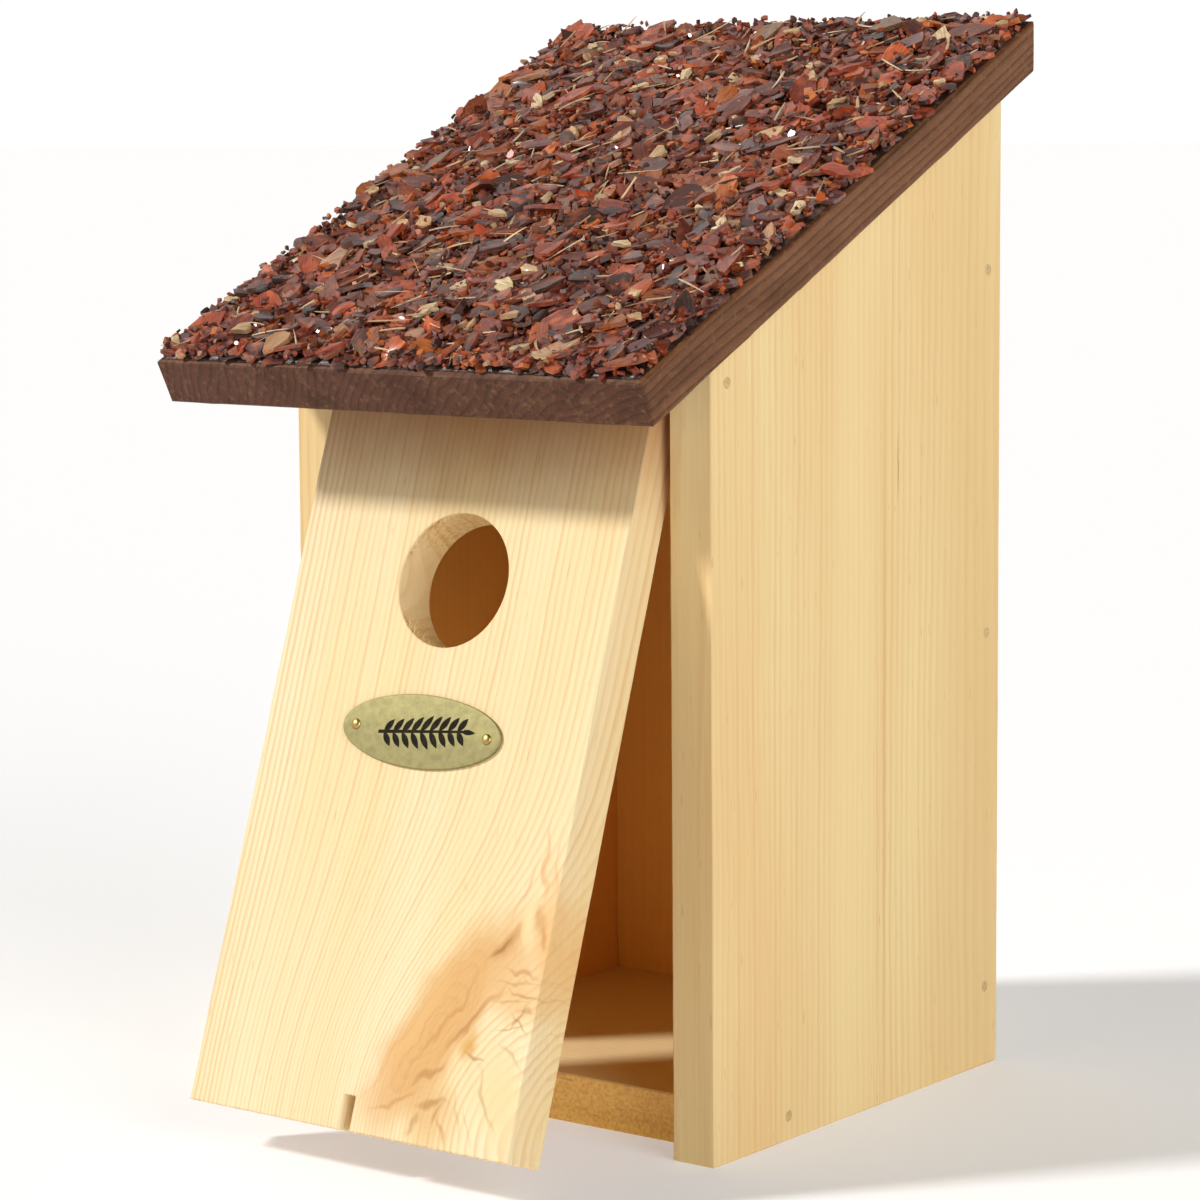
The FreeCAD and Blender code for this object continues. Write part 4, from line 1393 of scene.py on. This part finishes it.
@dataclass
class Studio:
    """White paper, soft light and the camera."""

    camera_place: Triple = (0.54746, -0.73621, 0.23836)
    camera_turn: float = 37.48
    camera_dip: float = 7.27
    camera_roll: float = -0.47
    lens_mm: float = 111.13
    sensor_mm: float = 36.0
    floor_half: float = 40.0
    floor_drop: float = 0.02 * MM
    # brightness low and high in the sky, and the share of the way up where it and its tint turn
    sky: tuple[float, float] = (1.02, 0.06)
    sky_turn: tuple[float, float] = (0.09, 0.20)
    tint_turn: tuple[float, float] = (0.10, 0.17)

    # degrees to the right of the front, degrees up, strength, degrees across
    LIGHTS: ClassVar[dict[str, tuple[float, float, float, float]]] = {
        "key_light": (-46.0, 35.5, 3.2, 7.0),
        "fill_light": (72.0, 16.0, 2.0, 40.0),
        "sheen_light": (-122.0, 44.0, 0.45, 50.0),
    }

    @staticmethod
    def aim(turn: float, height: float) -> Matrix:
        """Return a turn to the right of the front and up from the ground, in degrees, looking at the box."""
        return (Matrix.Rotation(math.radians(turn), 4, "Z")
                @ Matrix.Rotation(math.radians(90.0 - height), 4, "X"))

    def camera(self) -> None:
        """Set up the camera."""
        data = bpy.data.cameras.new("camera")
        data.lens, data.sensor_width = self.lens_mm, self.sensor_mm
        camera = put("camera", data)
        roll = Matrix.Rotation(math.radians(self.camera_roll), 4, "Z")
        camera.matrix_world = (Matrix.Translation(self.camera_place) @ self.aim(self.camera_turn, self.camera_dip)
                               @ roll)
        bpy.context.scene.camera = camera

    def sky_light(self) -> None:
        """Make a sky that is bright low down and dim and warm above."""
        world = bpy.data.worlds.new("studio_white")
        world.use_nodes = True
        world.node_tree.nodes.clear()
        add = partial(add_node, world.node_tree)
        rise = add("SeparateXYZ", add("TexCoord", give="Generated"), give="Z")
        glow = add("MapRange", rise, *self.sky_turn, *self.sky)
        warmth = add("ValToRGB", rise, stops=list(zip(self.tint_turn, (linear("#ffffff"), linear("#ffe0b0")))))
        add("OutputWorld", add("Background", warmth, glow))
        bpy.context.scene.world = world

    def build(self) -> None:
        """Make the floor, the lights, the sky and the camera."""
        bm = bmesh.new()
        bmesh.ops.create_grid(bm, x_segments=1, y_segments=1, size=self.floor_half,
                              matrix=Matrix.Translation((0.0, 0.0, -self.floor_drop)))
        floor = put("paper_floor", as_mesh(bm, "paper_floor"))
        floor.data.materials.append(Backdrop().build())
        self.sky_light()
        for name, (turn, height, strength, width) in self.LIGHTS.items():
            sun = bpy.data.lights.new(name, "SUN")
            sun.energy, sun.angle = strength, math.radians(width)
            put(name, sun).matrix_world = self.aim(turn, height)
        self.camera()
        bpy.context.scene.view_settings.view_transform = "Standard"


def main() -> None:
    """Build and dress every piece in order."""
    logging.basicConfig(level=logging.INFO, format="%(message)s")
    panel = PanelFrame()
    FrontPanel(panel).build()
    HouseBoards().build()
    BarkRoof(roof_plane()).build()
    SawFibres(panel).build()
    OvalPlate(panel).build()
    Hardware().build()
    Studio().build()


if __name__ == "__main__":
    main()
